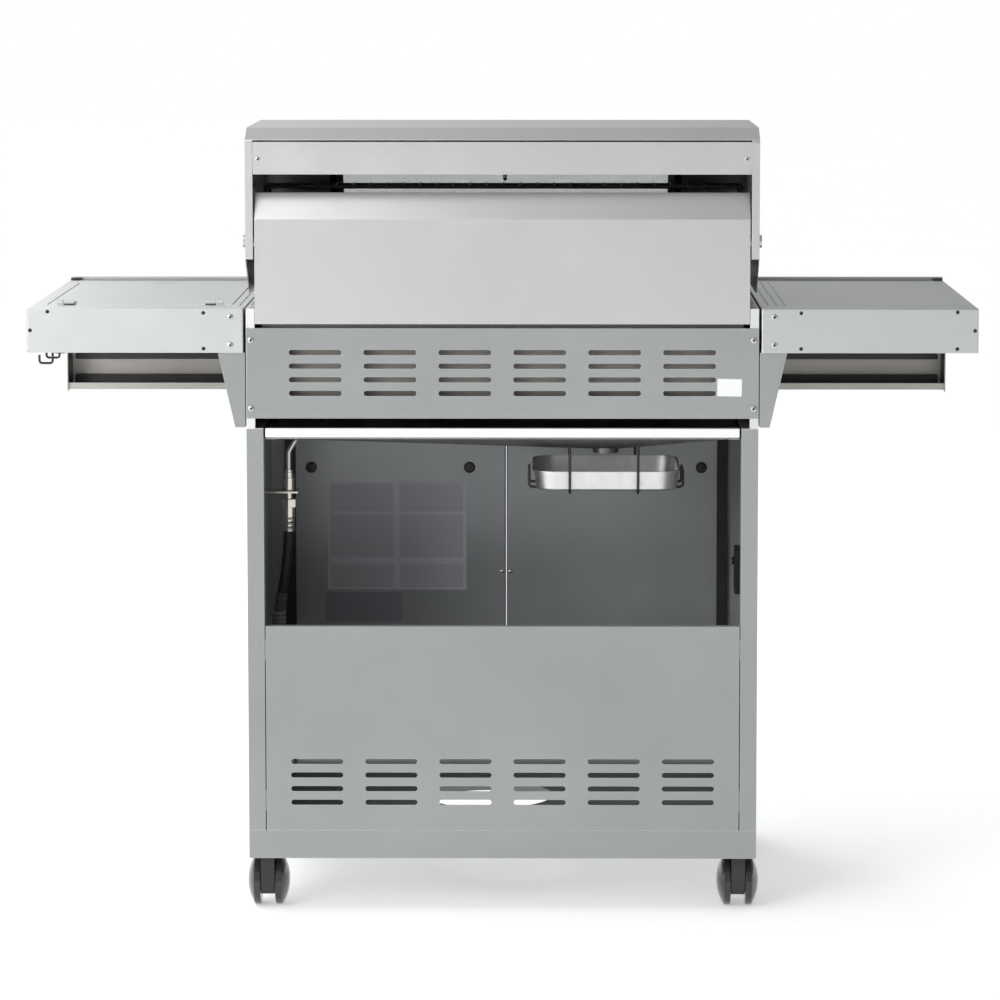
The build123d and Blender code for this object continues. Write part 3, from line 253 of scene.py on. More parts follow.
def cast(name, colour, rough):
    """Cast iron: coarse pitted skin with rubbed high spots."""
    s = Shader(name)
    pits = s.noise(420.0, 5.0, 0.7)
    lumps = s.noise(90.0, 3.0, 0.5)
    clouds = s.noise(12.0, 4.0, 0.6)
    light = tuple(c * 1.5 + 0.01 for c in colour)
    s.set("Base Color", s.mix(s.ramp(clouds, [(0.35, 0.0), (0.7, 0.7)]), colour, light))
    s.set("Metallic", 0.25)
    s.set("Roughness", s.math("ADD", s.math("MULTIPLY", pits, 0.25), rough - 0.12))
    s.bump([(pits, 0.45, 0.0005), (lumps, 0.25, 0.0008)], edge=0.0012)
    return s.material


def polished(name, colour, rough):
    """Polished or plated metal: light polishing lines and faint smears."""
    s = Shader(name)
    smears = s.noise(24.0, 5.0, 0.7)
    hair = s.noise(700.0, 2.0, 0.6, (0.2, 1.0, 1.0))
    dark = tuple(c * 0.92 for c in colour)
    s.set("Base Color", s.ramp(smears, [(0.35, dark), (0.65, colour)]))
    s.set("Metallic", 1.0)
    s.set("Roughness", s.math("ADD", s.math("MULTIPLY", smears, 0.10), rough - 0.05))
    s.bump([(hair, 0.05, 0.0002)], edge=0.0006)
    return s.material


def glass_material(name, colour, rough, alpha):
    """Tinted clear glass with a film of dust."""
    s = Shader(name)
    film = s.noise(8.0, 5.0, 0.7)
    s.set("Base Color", s.ramp(film, [(0.3, colour), (0.7, tuple(min(1.0, c * 1.1) for c in colour))]))
    s.set("Roughness", s.math("ADD", s.math("MULTIPLY", film, 0.06), rough))
    s.set("Metallic", 0.0)
    s.set("Transmission Weight", 0.6)
    s.set("IOR", 1.45)
    s.set("Alpha", alpha)
    s.bump([(film, 0.004, 0.0001)])
    return s.material


def crinkled_foil(name, colour):
    """Pressed aluminium foil: wide creases and fine crinkles."""
    s = Shader(name)
    creases = s.noise(60.0, 4.0, 0.65)
    fine = s.noise(400.0, 3.0, 0.6)
    s.set("Base Color", s.ramp(creases, [(0.3, tuple(c * 0.9 for c in colour)), (0.7, colour)]))
    s.set("Metallic", 1.0)
    s.set("Roughness", s.math("ADD", s.math("MULTIPLY", fine, 0.2), 0.32))
    s.bump([(creases, 0.3, 0.0010), (fine, 0.15, 0.0003)])
    return s.material


MATS = {
    "paint_grey": painted("paint_grey", (0.315, 0.325, 0.325), 0.38, wear_and_edge_highlight=(0.66, 0.67, 0.66)),
    "steel_pale": brushed("steel_pale", (0.78, 0.79, 0.77), 0.42, along="Z"),
    "steel_fascia": brushed("steel_fascia", (0.62, 0.62, 0.61), 0.34, back=(0.50, 0.475, 0.44)),
    "zinc": polished("zinc", (0.58, 0.58, 0.57), 0.28),
    # Near-black painted shade for the sunk crosses of the screw heads.
    "recess": painted("recess", (0.03, 0.03, 0.03), 0.6, grain=3000.0),
    "painted_shade_dark": painted("painted_shade_dark", (0.030, 0.031, 0.029), 0.45),
    "nickel": polished("nickel", (0.72, 0.69, 0.62), 0.20),
    "rubber_grey": moulded("rubber_grey", (0.10, 0.10, 0.10), 0.5, grain=1200.0),
    "label_pale": painted("label_pale", (0.60, 0.60, 0.64), 0.5, grain=3000.0, strength=0.03),
    "label_grey": painted("label_grey", (0.50, 0.50, 0.535), 0.5, grain=3000.0, strength=0.03),
    "label_dark": painted("label_dark", (0.25, 0.26, 0.285), 0.5, grain=3000.0, strength=0.03),
    "label_white": painted("label_white", (0.85, 0.85, 0.85), 0.45, grain=3000.0, strength=0.03),
    "dial_white": painted("dial_white", (0.80, 0.80, 0.78), 0.4, grain=3000.0, strength=0.02),
    "ink": painted("ink", (0.02, 0.02, 0.022), 0.5, grain=3000.0, strength=0.02),
    "ink_white": painted("ink_white", (0.80, 0.80, 0.80), 0.45, grain=3000.0, strength=0.02),
    "cream": painted("cream", (0.72, 0.66, 0.50), 0.4),
    "lens": glass_material("lens", (0.95, 0.96, 0.96), 0.02, 0.18),
    "steel": brushed("steel", (0.62, 0.62, 0.61), 0.34),
    "steel_shelf": brushed("steel_shelf", (0.60, 0.61, 0.61), 0.36, along="X"),
    "steel_door": brushed("steel_door", (0.62, 0.62, 0.61), 0.34, along="X", back=(0.37, 0.385, 0.39)),
    "steel_tray": brushed("steel_tray", (0.30, 0.30, 0.30), 0.42, painted_lip_highlight=(0.274, (0.97, 0.97, 0.97))),
    "steel_hot": brushed("steel_hot", (0.46, 0.43, 0.40), 0.40, along="Y", tone=0.15),
    "chrome": polished("chrome", (0.75, 0.75, 0.75), 0.14),
    "enamel": painted("enamel", (0.018, 0.018, 0.02), 0.24, grain=600.0, strength=0.05, coat=0.6),
    "iron": cast("iron", (0.022, 0.021, 0.02), 0.68),
    "wire_black": painted("wire_black", (0.012, 0.012, 0.012), 0.35, grain=2600.0, coat=0.3),
    "brass": polished("brass", (0.72, 0.52, 0.24), 0.26),
    "aluminium": polished("aluminium", (0.66, 0.66, 0.66), 0.32),
    "rubber": moulded("rubber", (0.016, 0.016, 0.017), 0.55, grain=1500.0, strength=0.15),
    "paint_regulator": painted("paint_regulator", (0.26, 0.26, 0.27), 0.5),
    "foil": crinkled_foil("foil", (0.80, 0.80, 0.80)),
    "glass": glass_material("glass", (0.62, 0.66, 0.66), 0.03, 0.55),
    "needle_red": painted("needle_red", (0.45, 0.02, 0.015), 0.4),
    "plastic_black": moulded("plastic_black", (0.018, 0.018, 0.019), 0.42),
    "plastic_gloss": moulded("plastic_gloss", (0.010, 0.010, 0.011), 0.22, strength=0.03, coat=0.5),
}

NODE_MATERIAL = {
    "painted_steel": "paint_grey", "stainless": "steel", "polished_steel": "chrome", "enamel": "enamel",
    "cast_iron": "iron", "black_wire": "wire_black", "brass": "brass", "gas_tube": "aluminium",
    "hose_rubber": "rubber", "regulator_metal": "paint_regulator", "foil": "foil", "glass": "glass",
    "needle": "needle_red", "black_plastic": "plastic_black", "wheel_plastic": "plastic_gloss",
}
SPECIAL = {
    "shelf_left": "steel_shelf", "shelf_right": "steel_shelf", "side_burner_lid": "steel_shelf",
    "door_left": "steel_door", "door_right": "steel_door", "grease_tray": "steel_tray",
    "head_frame_left": "steel_pale", "head_frame_right": "steel_pale", "firebox_tub": "steel_hot",
    "fascia_left": "steel_fascia", "fascia_right": "steel_fascia", "gas_inlet_fitting": "nickel",
    "heat_tents": "steel_hot", "burner_tubes": "steel_hot",
}


def finish_cad_nodes():
    """Give each CAD node the procedural material of its slot, or its own."""
    for part in frame["record"]["subparts"]:
        obj = frame["nodes"][part["node"]]
        material = MATS[SPECIAL.get(part["node"], NODE_MATERIAL[part["material_slot"]])]
        for slot in obj.material_slots:
            slot.material = material


# ---- Mesh helpers ----------------------------------------------------------------
def side_axes(axis):
    """Two unit vectors square to an axis."""
    axis = Vector(axis).normalized()
    first = axis.cross(Vector((0, 0, 1))) if abs(axis.z) < 0.9 else axis.cross(Vector((0, 1, 0)))
    first.normalize()
    return axis, first, axis.cross(first)


def lathe(bm, origin, axis, profile, steps=36):
    """Turn a profile of (radius, height) in mm about an axis; a radius of 0 closes an end."""
    axis, u, v = side_axes(axis)
    rings = []
    for radius, height in profile:
        centre = Vector(origin) + axis * height * MM
        if radius == 0:
            rings.append([bm.verts.new(centre)])
            continue
        ring = []
        for i in range(steps):
            turn = 2 * math.pi * i / steps
            ring.append(bm.verts.new(centre + (u * math.cos(turn) + v * math.sin(turn)) * radius * MM))
        rings.append(ring)
    for a, b in zip(rings, rings[1:]):
        for i in range(steps):
            j = (i + 1) % steps
            corners = [a[i % len(a)], a[j % len(a)], b[j % len(b)], b[i % len(b)]]
            unique = list(dict.fromkeys(corners))
            if len(unique) > 2:
                bm.faces.new(unique)


def screw_head(bm, origin, axis, radius, height, steps=40, rings=14):
    """A pan head; origin is the middle of its seat. The faces of its sunk cross take the second material, a
    near-black painted shade.
    """
    axis, u, v = side_axes(axis)
    slot_half = radius * 0.13
    slot_end = radius * 0.56

    def place(r, turn):
        """A point of the head's top, at a radius and a turn about its axis."""
        x = r * math.cos(turn)
        y = r * math.sin(turn)
        dome = height * (1.0 - 0.35 * (r / radius) ** 2)
        cross = (abs(x) < slot_half and abs(y) < slot_end) or (abs(y) < slot_half and abs(x) < slot_end)
        lift = dome - (height * 0.75 if cross else 0.0)
        return Vector(origin) + (u * x + v * y + axis * lift) * MM

    grid = []
    for k in range(1, rings + 1):
        grid.append([bm.verts.new(place(radius * k / rings, 2 * math.pi * i / steps)) for i in range(steps)])
    seat = []
    for i in range(steps):
        turn = 2 * math.pi * i / steps
        seat.append(bm.verts.new(Vector(origin) + (u * math.cos(turn) + v * math.sin(turn)) * radius * MM))
    middle = bm.verts.new(place(0.0, 0.0))
    faces = [bm.faces.new((middle, grid[0][i], grid[0][(i + 1) % steps])) for i in range(steps)]
    for a, b in zip(grid, grid[1:] + [seat]):
        for i in range(steps):
            j = (i + 1) % steps
            faces.append(bm.faces.new((a[i], b[i], b[j], a[j])))
    bm.faces.new(seat[::-1])
    deep = (place(0.0, 0.0) - Vector(origin)).dot(axis) + height * 0.1 * MM
    for face in faces:
        sunk = sum((v.co - Vector(origin)).dot(axis) < deep for v in face.verts) > 1
        near = (face.calc_center_median() - Vector(origin)).length < slot_end * 1.1 * MM
        face.material_index = int(sunk and near)


def plate(bm, origin, along, up, size, thick, corner, bulge=0.0, steps=5):
    """A thin rounded plate in mm; origin is the middle of its back."""
    along = Vector(along).normalized()
    up = Vector(up).normalized()
    out = along.cross(up)
    outline = []
    for cx, cy, start in ((1, 1, 0), (-1, 1, 90), (-1, -1, 180), (1, -1, 270)):
        for i in range(steps + 1):
            turn = math.radians(start + 90 * i / steps)
            outline.append((cx * (size[0] / 2 - corner) + corner * math.cos(turn),
                            cy * (size[1] / 2 - corner) + corner * math.sin(turn)))
    edge = min(corner, thick) * 0.4
    layers = ((0.0, 0.0), (0.0, thick - edge), (edge, thick))
    rings = []
    for inset, lift in layers:
        ring = []
        for x, y in outline:
            shrink_x = 1 - 2 * inset / size[0]
            shrink_y = 1 - 2 * inset / size[1]
            offset = along * x * shrink_x + up * y * shrink_y + out * lift
            ring.append(bm.verts.new(Vector(origin) + offset * MM))
        rings.append(ring)
    for a, b in zip(rings, rings[1:]):
        for i in range(len(a)):
            j = (i + 1) % len(a)
            bm.faces.new((a[i], a[j], b[j], b[i]))
    bm.faces.new(rings[0][::-1])
    if not bulge:
        bm.faces.new(rings[-1])
        return
    top = bm.verts.new(Vector(origin) + out * (thick + bulge) * MM)
    for i in range(len(outline)):
        bm.faces.new((rings[-1][i], rings[-1][(i + 1) % len(outline)], top))


def piece(name, bm, material, body, sharp=35.0):
    """Turn a bmesh into a piece that rides on a body and takes a slot's finish.

    material is the name of one material, or of two with a space between.
    """
    bmesh.ops.recalc_face_normals(bm, faces=bm.faces[:])
    mesh = bpy.data.meshes.new(name)
    bm.to_mesh(mesh)
    bm.free()
    for face in mesh.polygons:
        face.use_smooth = True
    mesh.set_sharp_from_angle(angle=math.radians(sharp))
    obj = bpy.data.objects.new(name, mesh)
    bpy.context.collection.objects.link(obj)
    for each in material.split():
        mesh.materials.append(MATS[each])
    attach(obj, body)
    return obj


def rear_plate(bm, x, y, z, size, thick, corner):
    """A thin rounded plate in mm that faces the rear."""
    plate(bm, (x * MM, y * MM, z * MM), (-1, 0, 0), (0, 0, 1), size, thick, corner)


def wire(bm, points, radius, steps=12, rounds=3, closed=False):
    """A round wire in mm through points whose corners are cut into short runs."""
    points = [Vector(p) for p in points]
    for _ in range(rounds):
        cut = [] if closed else [points[0]]
        pairs = list(zip(points, points[1:] + (points[:1] if closed else [])))
        for a, b in pairs:
            cut += [a.lerp(b, 0.25), a.lerp(b, 0.75)]
        points = cut if closed else cut + [points[-1]]
    rings = []
    side = None
    for i, point in enumerate(points):
        before = points[i - 1] if i or closed else point
        after = points[(i + 1) % len(points)] if closed or i + 1 < len(points) else point
        ahead = (after - before).normalized()
        side = side_axes(ahead)[1] if side is None else (side - ahead * side.dot(ahead)).normalized()
        other = ahead.cross(side)
        rings.append([bm.verts.new((point + (side * math.cos(2 * math.pi * k / steps)
                                             + other * math.sin(2 * math.pi * k / steps)) * radius) * MM)
                      for k in range(steps)])
    for a, b in list(zip(rings, rings[1:])) + ([(rings[-1], rings[0])] if closed else []):
        for k in range(steps):
            j = (k + 1) % steps
            bm.faces.new((a[k], a[j], b[j], b[k]))
    if not closed:
        bm.faces.new(rings[0][::-1])
        bm.faces.new(rings[-1])


# ---- Gas hose: the one cord --------------------------------------------------------
HOSE_ROUTE = [(0.320, 0.068, 0.547), (0.320, 0.068, 0.514), (0.327, 0.071, 0.450), (0.335, 0.074, 0.407)]
HOSE_DIAMETER = 0.014
COLLAR_BORE = 7.2           # radius in mm of both crimped collars' inside
COLLAR_SEAT = 0.5255        # height of the top collar's lower end
RIBS = 5                    # ribs on the lower collar
RIB_PITCH = 5
LOW_COLLAR = 0.0275         # how far the lower collar starts before the hose's end


def make_hose():
    """The short stiff hose from the inlet fitting to the regulator, with a crimped collar at each end."""
    curve = bpy.data.curves.new("gas_hose_line", "CURVE")
    curve.dimensions = "3D"
    spline = curve.splines.new("NURBS")
    spline.points.add(len(HOSE_ROUTE) - 1)
    for point, place in zip(spline.points, HOSE_ROUTE):
        point.co = (*place, 1.0)
    spline.order_u = 3
    spline.use_endpoint_u = True
    curve.resolution_u = 24
    curve.bevel_depth = HOSE_DIAMETER / 2
    curve.bevel_resolution = 8
    curve.use_fill_caps = True
    hose = bpy.data.objects.new("gas_hose_tube", curve)
    bpy.context.collection.objects.link(hose)
    curve.materials.append(MATS["rubber"])
    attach(hose, "root")
    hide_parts("gas_hose")
    bm = bmesh.new()
    collar = [(COLLAR_BORE, 0), (8.6, 0.6), (8.6, 5), (7.9, 6), (8.6, 7), (8.6, 12), (7.9, 13), (8.6, 14),
              (8.6, 20), (8.0, 21), (COLLAR_BORE, 21), (COLLAR_BORE, 0)]
    lathe(bm, (*HOSE_ROUTE[0][:2], COLLAR_SEAT), (0, 0, 1), collar)
    top = piece("hose_collar_top", bm, "nickel", "root")
    bm = bmesh.new()
    ahead = Vector(HOSE_ROUTE[3]) - Vector(HOSE_ROUTE[2])
    ribs = [(COLLAR_BORE, 0)]
    for i in range(RIBS):
        start = RIB_PITCH * i
        ribs += [(8.8, 1 + start), (8.8, 3.4 + start), (7.7, 4.2 + start), (7.7, 5.4 + start)]
    ribs += [(COLLAR_BORE, 27), (COLLAR_BORE, 0)]
    lathe(bm, Vector(HOSE_ROUTE[3]) - ahead.normalized() * LOW_COLLAR, ahead, ribs)
    low = piece("hose_collar_low", bm, "rubber_grey", "root")


# ---- Screws, plugs and labels --------------------------------------------------------
def islands(obj):
    """The separate pieces of a CAD node's mesh, each as its box corners in mm and its faces."""
    bm = bmesh.new()
    bm.from_mesh(obj.data)
    bmesh.ops.remove_doubles(bm, verts=bm.verts[:], dist=1e-6)
    seen = set()
    found = []
    for face in bm.faces:
        if face in seen:
            continue
        seen.add(face)
        stack = [face]
        group = []
        while stack:
            now = stack.pop()
            group.append([tuple(v.co) for v in now.verts])
            for edge in now.edges:
                for other in edge.link_faces:
                    if other not in seen:
                        seen.add(other)
                        stack.append(other)
        points = [p for corners in group for p in corners]
        low = Vector([min(p[i] for p in points) for i in range(3)]) / MM
        high = Vector([max(p[i] for p in points) for i in range(3)]) / MM
        found.append((low, high, group))
    bm.free()
    return found


SCREW_HEAD_MAX = 4          # a part of the fasteners' node thinner than this in mm is a screw head
SINK = 0.0002               # how far a loose detail's seat sinks into the surface below it


def make_fasteners():
    """Cross-head screws and lid pivots in place of the plain heads of the CAD node."""
    bm = bmesh.new()
    for low, high, group in islands(frame["nodes"]["body_fasteners"]):
        middle = (low + high) / 2
        if high.y - low.y < SCREW_HEAD_MAX:
            seat = Vector((middle.x, low.y, middle.z)) * MM
            screw_head(bm, seat, (0, 1, 0), (high.x - low.x) / 2, high.y - low.y)
            continue
        points = {}
        for corners in group:
            verts = []
            for corner in corners:
                if corner not in points:
                    points[corner] = bm.verts.new(corner)
                verts.append(points[corner])
            if len(set(verts)) > 2:
                bm.faces.new(verts)
    fasteners = piece("cross_head_fasteners", bm, "zinc recess", "root")
    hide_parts("body_fasteners")
    bm = bmesh.new()
    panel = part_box("lid_rear_panel")
    for side in SIDES:
        screw_head(bm, (side * 0.3465, panel[1].y - SINK, 1.0885), (0, 1, 0), 3.4, 1.6)
    piece("lid_panel_screws", bm, "zinc recess", "lid")


PLUG_X = (57, 303)          # distance in mm of a door handle's two screw plugs from the middle
PLUG_Z = 0.586
PLUG_PROFILE = [(0, 0), (8.6, 0), (8.8, 0.5), (8.4, 1.4), (7.0, 2.1), (6.4, 1.7), (3.5, 2.2), (0, 2.3)]
BUMPER_X = 6.3
BUMPER_Z = 0.422
LABEL_X = 170.0             # middle of the large blank label on one door
LABEL_Z = 478.5


def make_door_trim():
    """Handle plugs and bumper screws on the inner faces of the doors."""
    for side, name in ((-1, "left"), (1, "right")):
        face_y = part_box("door_" + name)[1].y
        bm = bmesh.new()
        for x in PLUG_X:
            lathe(bm, (side * x * MM, face_y - SINK, PLUG_Z), (0, 1, 0), PLUG_PROFILE)
        piece("door_plugs_" + name, bm, "plastic_black", name + "_door")
        bm = bmesh.new()
        screw_head(bm, (side * BUMPER_X * MM, face_y - SINK, BUMPER_Z), (0, 1, 0), 3.3, 2.0)
        piece("door_bumper_screw_" + name, bm, "zinc recess", name + "_door")


def make_labels():
    """Blank stickers: two on the inside of one door, one on the vent panel."""
    face_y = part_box("door_right")[1].y / MM - 0.1
    bm = bmesh.new()
    rear_plate(bm, LABEL_X, face_y, LABEL_Z, (216, 169), 0.35, 2.0)
    piece("door_label_large", bm, "label_pale", "right_door")
    bm = bmesh.new()
    for x in (LABEL_X + 54.5, LABEL_X - 53.5):
        for z, high in ((LABEL_Z + 60, 42), (LABEL_Z, 66), (LABEL_Z - 63, 36)):
            rear_plate(bm, x, face_y + 0.35, z, (98, high), 0.08, 1.0)
    piece("door_label_panels", bm, "label_grey", "right_door")
    bm = bmesh.new()
    rear_plate(bm, LABEL_X + 51.5, face_y, LABEL_Z - 112, (121, 46), 0.3, 1.5)
    piece("door_label_small", bm, "label_dark", "right_door")
    bm = bmesh.new()
    vent_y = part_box("rear_vent_panel")[1].y - 0.0001
    plate(bm, (-0.3235, vent_y, 0.7635), (-1, 0, -0.02), (-0.02, 0, 1), (35, 25), 0.3, 1.0)
    piece("vent_panel_sticker", bm, "label_white", "root")


# ---- Front: dial and knobs -----------------------------------------------------
SLOPE_DOWN = Vector((0, -158.0, -172.0)).normalized()
SLOPE_OUT = Vector((0, -172.0, 158.0)).normalized()
DIAL = Vector((0, -47.0, 1132.0)) + SLOPE_DOWN * 72.5
ACROSS = Vector((1, 0, 0))
DIAL_START = 225            # turn in degrees of the first mark
DIAL_SWEEP = 270
DIAL_TICKS = 45             # spaces between the marks
TICKS_PER_NUMBER = 9
NUMBER_STEP = 50
LENS_RADIUS = 28.5


def dial_ray(share):
    """The way from the dial's middle to a mark at a share of the sweep."""
    turn = math.radians(DIAL_START - DIAL_SWEEP * share)
    return ACROSS * math.cos(turn) - SLOPE_DOWN * math.sin(turn)


def add_number(bm, value, spot):
    """Raised digits on the dial, centred on a spot."""
    text = bpy.data.curves.new("dial_number", "FONT")
    text.body = str(value)
    text.size = 5.2 * MM
    text.align_x = "CENTER"
    text.align_y = "CENTER"
    text.extrude = 0.00004
    holder = bpy.data.objects.new("dial_number", text)
    mesh = bpy.data.meshes.new_from_object(holder)
    turned = Matrix((ACROSS, -SLOPE_DOWN, SLOPE_OUT)).transposed().to_4x4()
    mesh.transform(Matrix.Translation(spot) @ turned)
    bm.from_mesh(mesh)
    bpy.data.meshes.remove(mesh)
    bpy.data.objects.remove(holder)
    bpy.data.curves.remove(text)


def make_dial():
    """A printed dial with ticks and numbers, and a domed lens over the needle."""
    centre = (DIAL + SLOPE_OUT * 5.0) * MM
    bm = bmesh.new()
    lathe(bm, centre, SLOPE_OUT, [(1.7, 0.0), (1.7, 0.25), (28.6, 0.25), (28.8, 0.0), (1.7, 0.0)], 64)
    piece("dial_face", bm, "dial_white", "lid")
    bm = bmesh.new()
    for i in range(DIAL_TICKS + 1):
        ray = dial_ray(i / DIAL_TICKS)
        long = i % TICKS_PER_NUMBER == 0
        length = 4.2 if long else 2.2
        plate(bm, centre + (ray * (26.5 - length / 2) + SLOPE_OUT * 0.25) * MM, ray, SLOPE_OUT.cross(ray),
              (length, 0.75 if long else 0.4), 0.06, 0.1)
    numbers = DIAL_TICKS // TICKS_PER_NUMBER
    for i in range(numbers + 1):
        spot = centre + (dial_ray(i / numbers) * 18.0 + SLOPE_OUT * 0.29) * MM
        add_number(bm, NUMBER_STEP * (i + 1), spot)
    piece("dial_marks", bm, "ink", "lid")
    bm = bmesh.new()
    profile = [(0, 1.0), (LENS_RADIUS, 0.0), (LENS_RADIUS, 0.9)]
    for turn in range(10, 90, 10):
        angle = math.radians(turn)
        profile.append((LENS_RADIUS * math.cos(angle), 0.9 + 1.2 * math.sin(angle)))
    profile += [(0, 2.1)]
    lathe(bm, (DIAL + SLOPE_OUT * 10.8) * MM, SLOPE_OUT, profile, 64)
    piece("dial_lens", bm, "lens", "lid")


KNOBS = 5
SCALE_DOTS = 13             # dots beside a knob, one every SCALE_STEP degrees
SCALE_STEP = 15


def make_knob_trim():
    """A pointer line on each knob, with a polished bezel and a scale of dots behind it."""
    rings = bmesh.new()
    dots = bmesh.new()
    for number in range(1, KNOBS + 1):
        low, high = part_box("knob_%d" % number)
        centre = (low + high) / 2
        bm = bmesh.new()
        pointer = (centre.x, low.y + 0.0001, centre.z + 0.0155)
        plate(bm, pointer, (1, 0, 0), (0, 0, 1), (1.8, 13.0), 0.3, 0.8)
        piece("knob_%d_pointer" % number, bm, "ink_white", "knob_%d" % number)
        seat_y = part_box("control_panel")[0].y
        radius = (high.x - low.x) / 2 / MM
        bezel = [(1.4, 0), (1.4, 1.4), (2.2, 2.3), (3.6, 2.3), (5.4, 1.2), (6.0, 0), (1.4, 0)]
        lathe(rings, (centre.x, seat_y + 0.0001, centre.z), (0, -1, 0),
              [(radius + wider, height) for wider, height in bezel], 72)
        for i in range(SCALE_DOTS):
            turn = math.radians(90 - SCALE_STEP - i * SCALE_STEP)
            size = 0.7 + 0.09 * i
            spot = centre + Vector((math.cos(turn), 0, math.sin(turn))) * (radius + 11) * MM
            dot = [(0, 0), (size, 0), (size, 0.1), (0, 0.12)]
            lathe(dots, (spot.x, seat_y + 0.00005, spot.z), (0, -1, 0), dot, 16)
    piece("knob_bezels", rings, "chrome", "root")
    piece("knob_scales", dots, "ink", "root")


# ---- Shelves, doors' edges and tray ----------------------------------------------
APRON_HOLES = [(425, 870), (425, 819), (647, 871.5), (672, 845)]
LEFT_HOLE = (-647, 819)     # one more hole, in the left apron only
# Bands of painted shade inside the fascias and on their end caps, where those insides lie in shadow.
SHADE_BANDS_IN_FASCIA = ((720.5, 17.0), (757.0, 9.0))
SHADE_BAND_X = 521.5
END_CAP_SHADE_X = 675.2
# Strips of painted shade behind the doors' outer edges.
GAP_STRIP_X = 0.335
GAP_STRIP_LAYERS = (-198.6, -196.6)
OUTLET_TABS_X = (-107, -176)


def make_shelf_caps():
    """A dark cap on the front outer corner of each shelf."""
    bm = bmesh.new()
    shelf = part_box("shelf_right")
    for side in SIDES:
        place = (side * (shelf[1].x - 0.0085), shelf[0].y + 0.0025, 0.8762)
        plate(bm, place, (1, 0, 0), (0, 1, 0), (15, 12), 3.2, 3.0, 0.5)
    piece("shelf_corner_caps", bm, "plastic_black", "root")


def make_fascia_stiffeners():
    """Two dark strips and a dark plate on the end cap behind each side fascia: painted shade, dark sheets
    where the fascia's inside lies in shadow.
    """
    bm = bmesh.new()
    for side in SIDES:
        for z, high in SHADE_BANDS_IN_FASCIA:
            # Painted shade: dark strips standing in for the shadow inside the fascia.
            rear_plate(bm, side * SHADE_BAND_X, -233.2, z, (298, high), 5.0, 1.2)
        cap = (side * END_CAP_SHADE_X * MM, -0.2035, 0.7595)
        plate(bm, cap, (0, side, 0), (0, 0, 1), (55, 92), 1.0, 1.5)
    piece("fascia_shade_strips", bm, "painted_shade_dark", "root")


def make_apron_plugs():
    """Dark plugs behind the holes of the shelves' rear aprons."""
    bm = bmesh.new()
    holes = [(side * x, z) for side in SIDES for x, z in APRON_HOLES]
    for x, z in holes + [LEFT_HOLE]:
        rear_plate(bm, x, 280.4, z, (8, 8), 0.9, 3.0)
    piece("apron_hole_plugs", bm, "plastic_black", "root")


def make_burner_wires():
    """The stay and the air loop under the side burner."""
    bm = bmesh.new()
    wire(bm, [(446, -60, 812), (441, -66, 806), (414, -100, 776), (409, -118, 770), (408, -150, 769)], 3.2)
    piece("burner_stay", bm, "wire_black", "root")
    bm = bmesh.new()
    loop = [(462, 806), (463, 796), (466, 787), (471, 787), (474, 796), (475, 806)]
    wire(bm, [(x, -150, z) for x, z in loop], 2.6)
    piece("burner_air_loop", bm, "cream", "root")


def make_door_seals():
    """Strips in the black rubber finish on the front posts, behind the outer edges of the doors: painted
    shade that keeps the gaps there dark.
    """
    bm = bmesh.new()
    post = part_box("side_panel_right")
    for side in SIDES:
        for y in GAP_STRIP_LAYERS:
            # Painted shade: black strips fill the gap beside the door with darkness.
            middle = (side * GAP_STRIP_X, y * MM, (post[0].z + post[1].z) / 2)
            plate(bm, middle, (side, 0, 0), (0, 0, 1), (16, 572), 1.6, 0.7)
    piece("door_gap_shade_strips", bm, "rubber", "root")


def make_tray_tabs():
    """Two wire tabs under the tray's outlet."""
    bm = bmesh.new()
    for x in OUTLET_TABS_X:
        wire(bm, [(x - 8, 60, 668), (x, 60, 661), (x + 8, 60, 668)], 1.5, rounds=2)
    piece("tray_outlet_tabs", bm, "wire_black", "tray")


# ---- Camera, floor and light ---------------------------------------------------
CAMERA_PLACE = (-0.0687, 5.7446, 1.3568)
LENS_MM = 138.91
LENS_SHIFT = (-0.0254, -0.15)
LOOK_DOWN = 0.09846         # radians
LOOK_ASIDE = 0.00656
FLOOR_HALF = 30
GLOW = 0.42                 # light given off by the floor, which keeps it white


def make_camera():
    """A long lens behind the grill, above it and looking slightly down."""
    data = bpy.data.cameras.new("camera")
    camera = bpy.data.objects.new("camera", data)
    bpy.context.collection.objects.link(camera)
    data.lens = LENS_MM
    data.sensor_width = 36.0
    data.shift_x, data.shift_y = LENS_SHIFT
    data.clip_end = 60.0
    camera.location = CAMERA_PLACE
    camera.rotation_euler = (math.pi / 2 - LOOK_DOWN, 0.0, math.pi + LOOK_ASIDE)
    bpy.context.scene.camera = camera


def area_light(name, place, target, size, power):
    """A soft white rectangular light that looks at a point."""
    data = bpy.data.lights.new(name, "AREA")
    data.shape = "RECTANGLE"
    data.size = size[0]
    data.size_y = size[1]
    data.energy = power
    light = bpy.data.objects.new(name, data)
    light.location = place
    light.rotation_euler = (Vector(target) - Vector(place)).to_track_quat("-Z", "Y").to_euler()
    bpy.context.collection.objects.link(light)


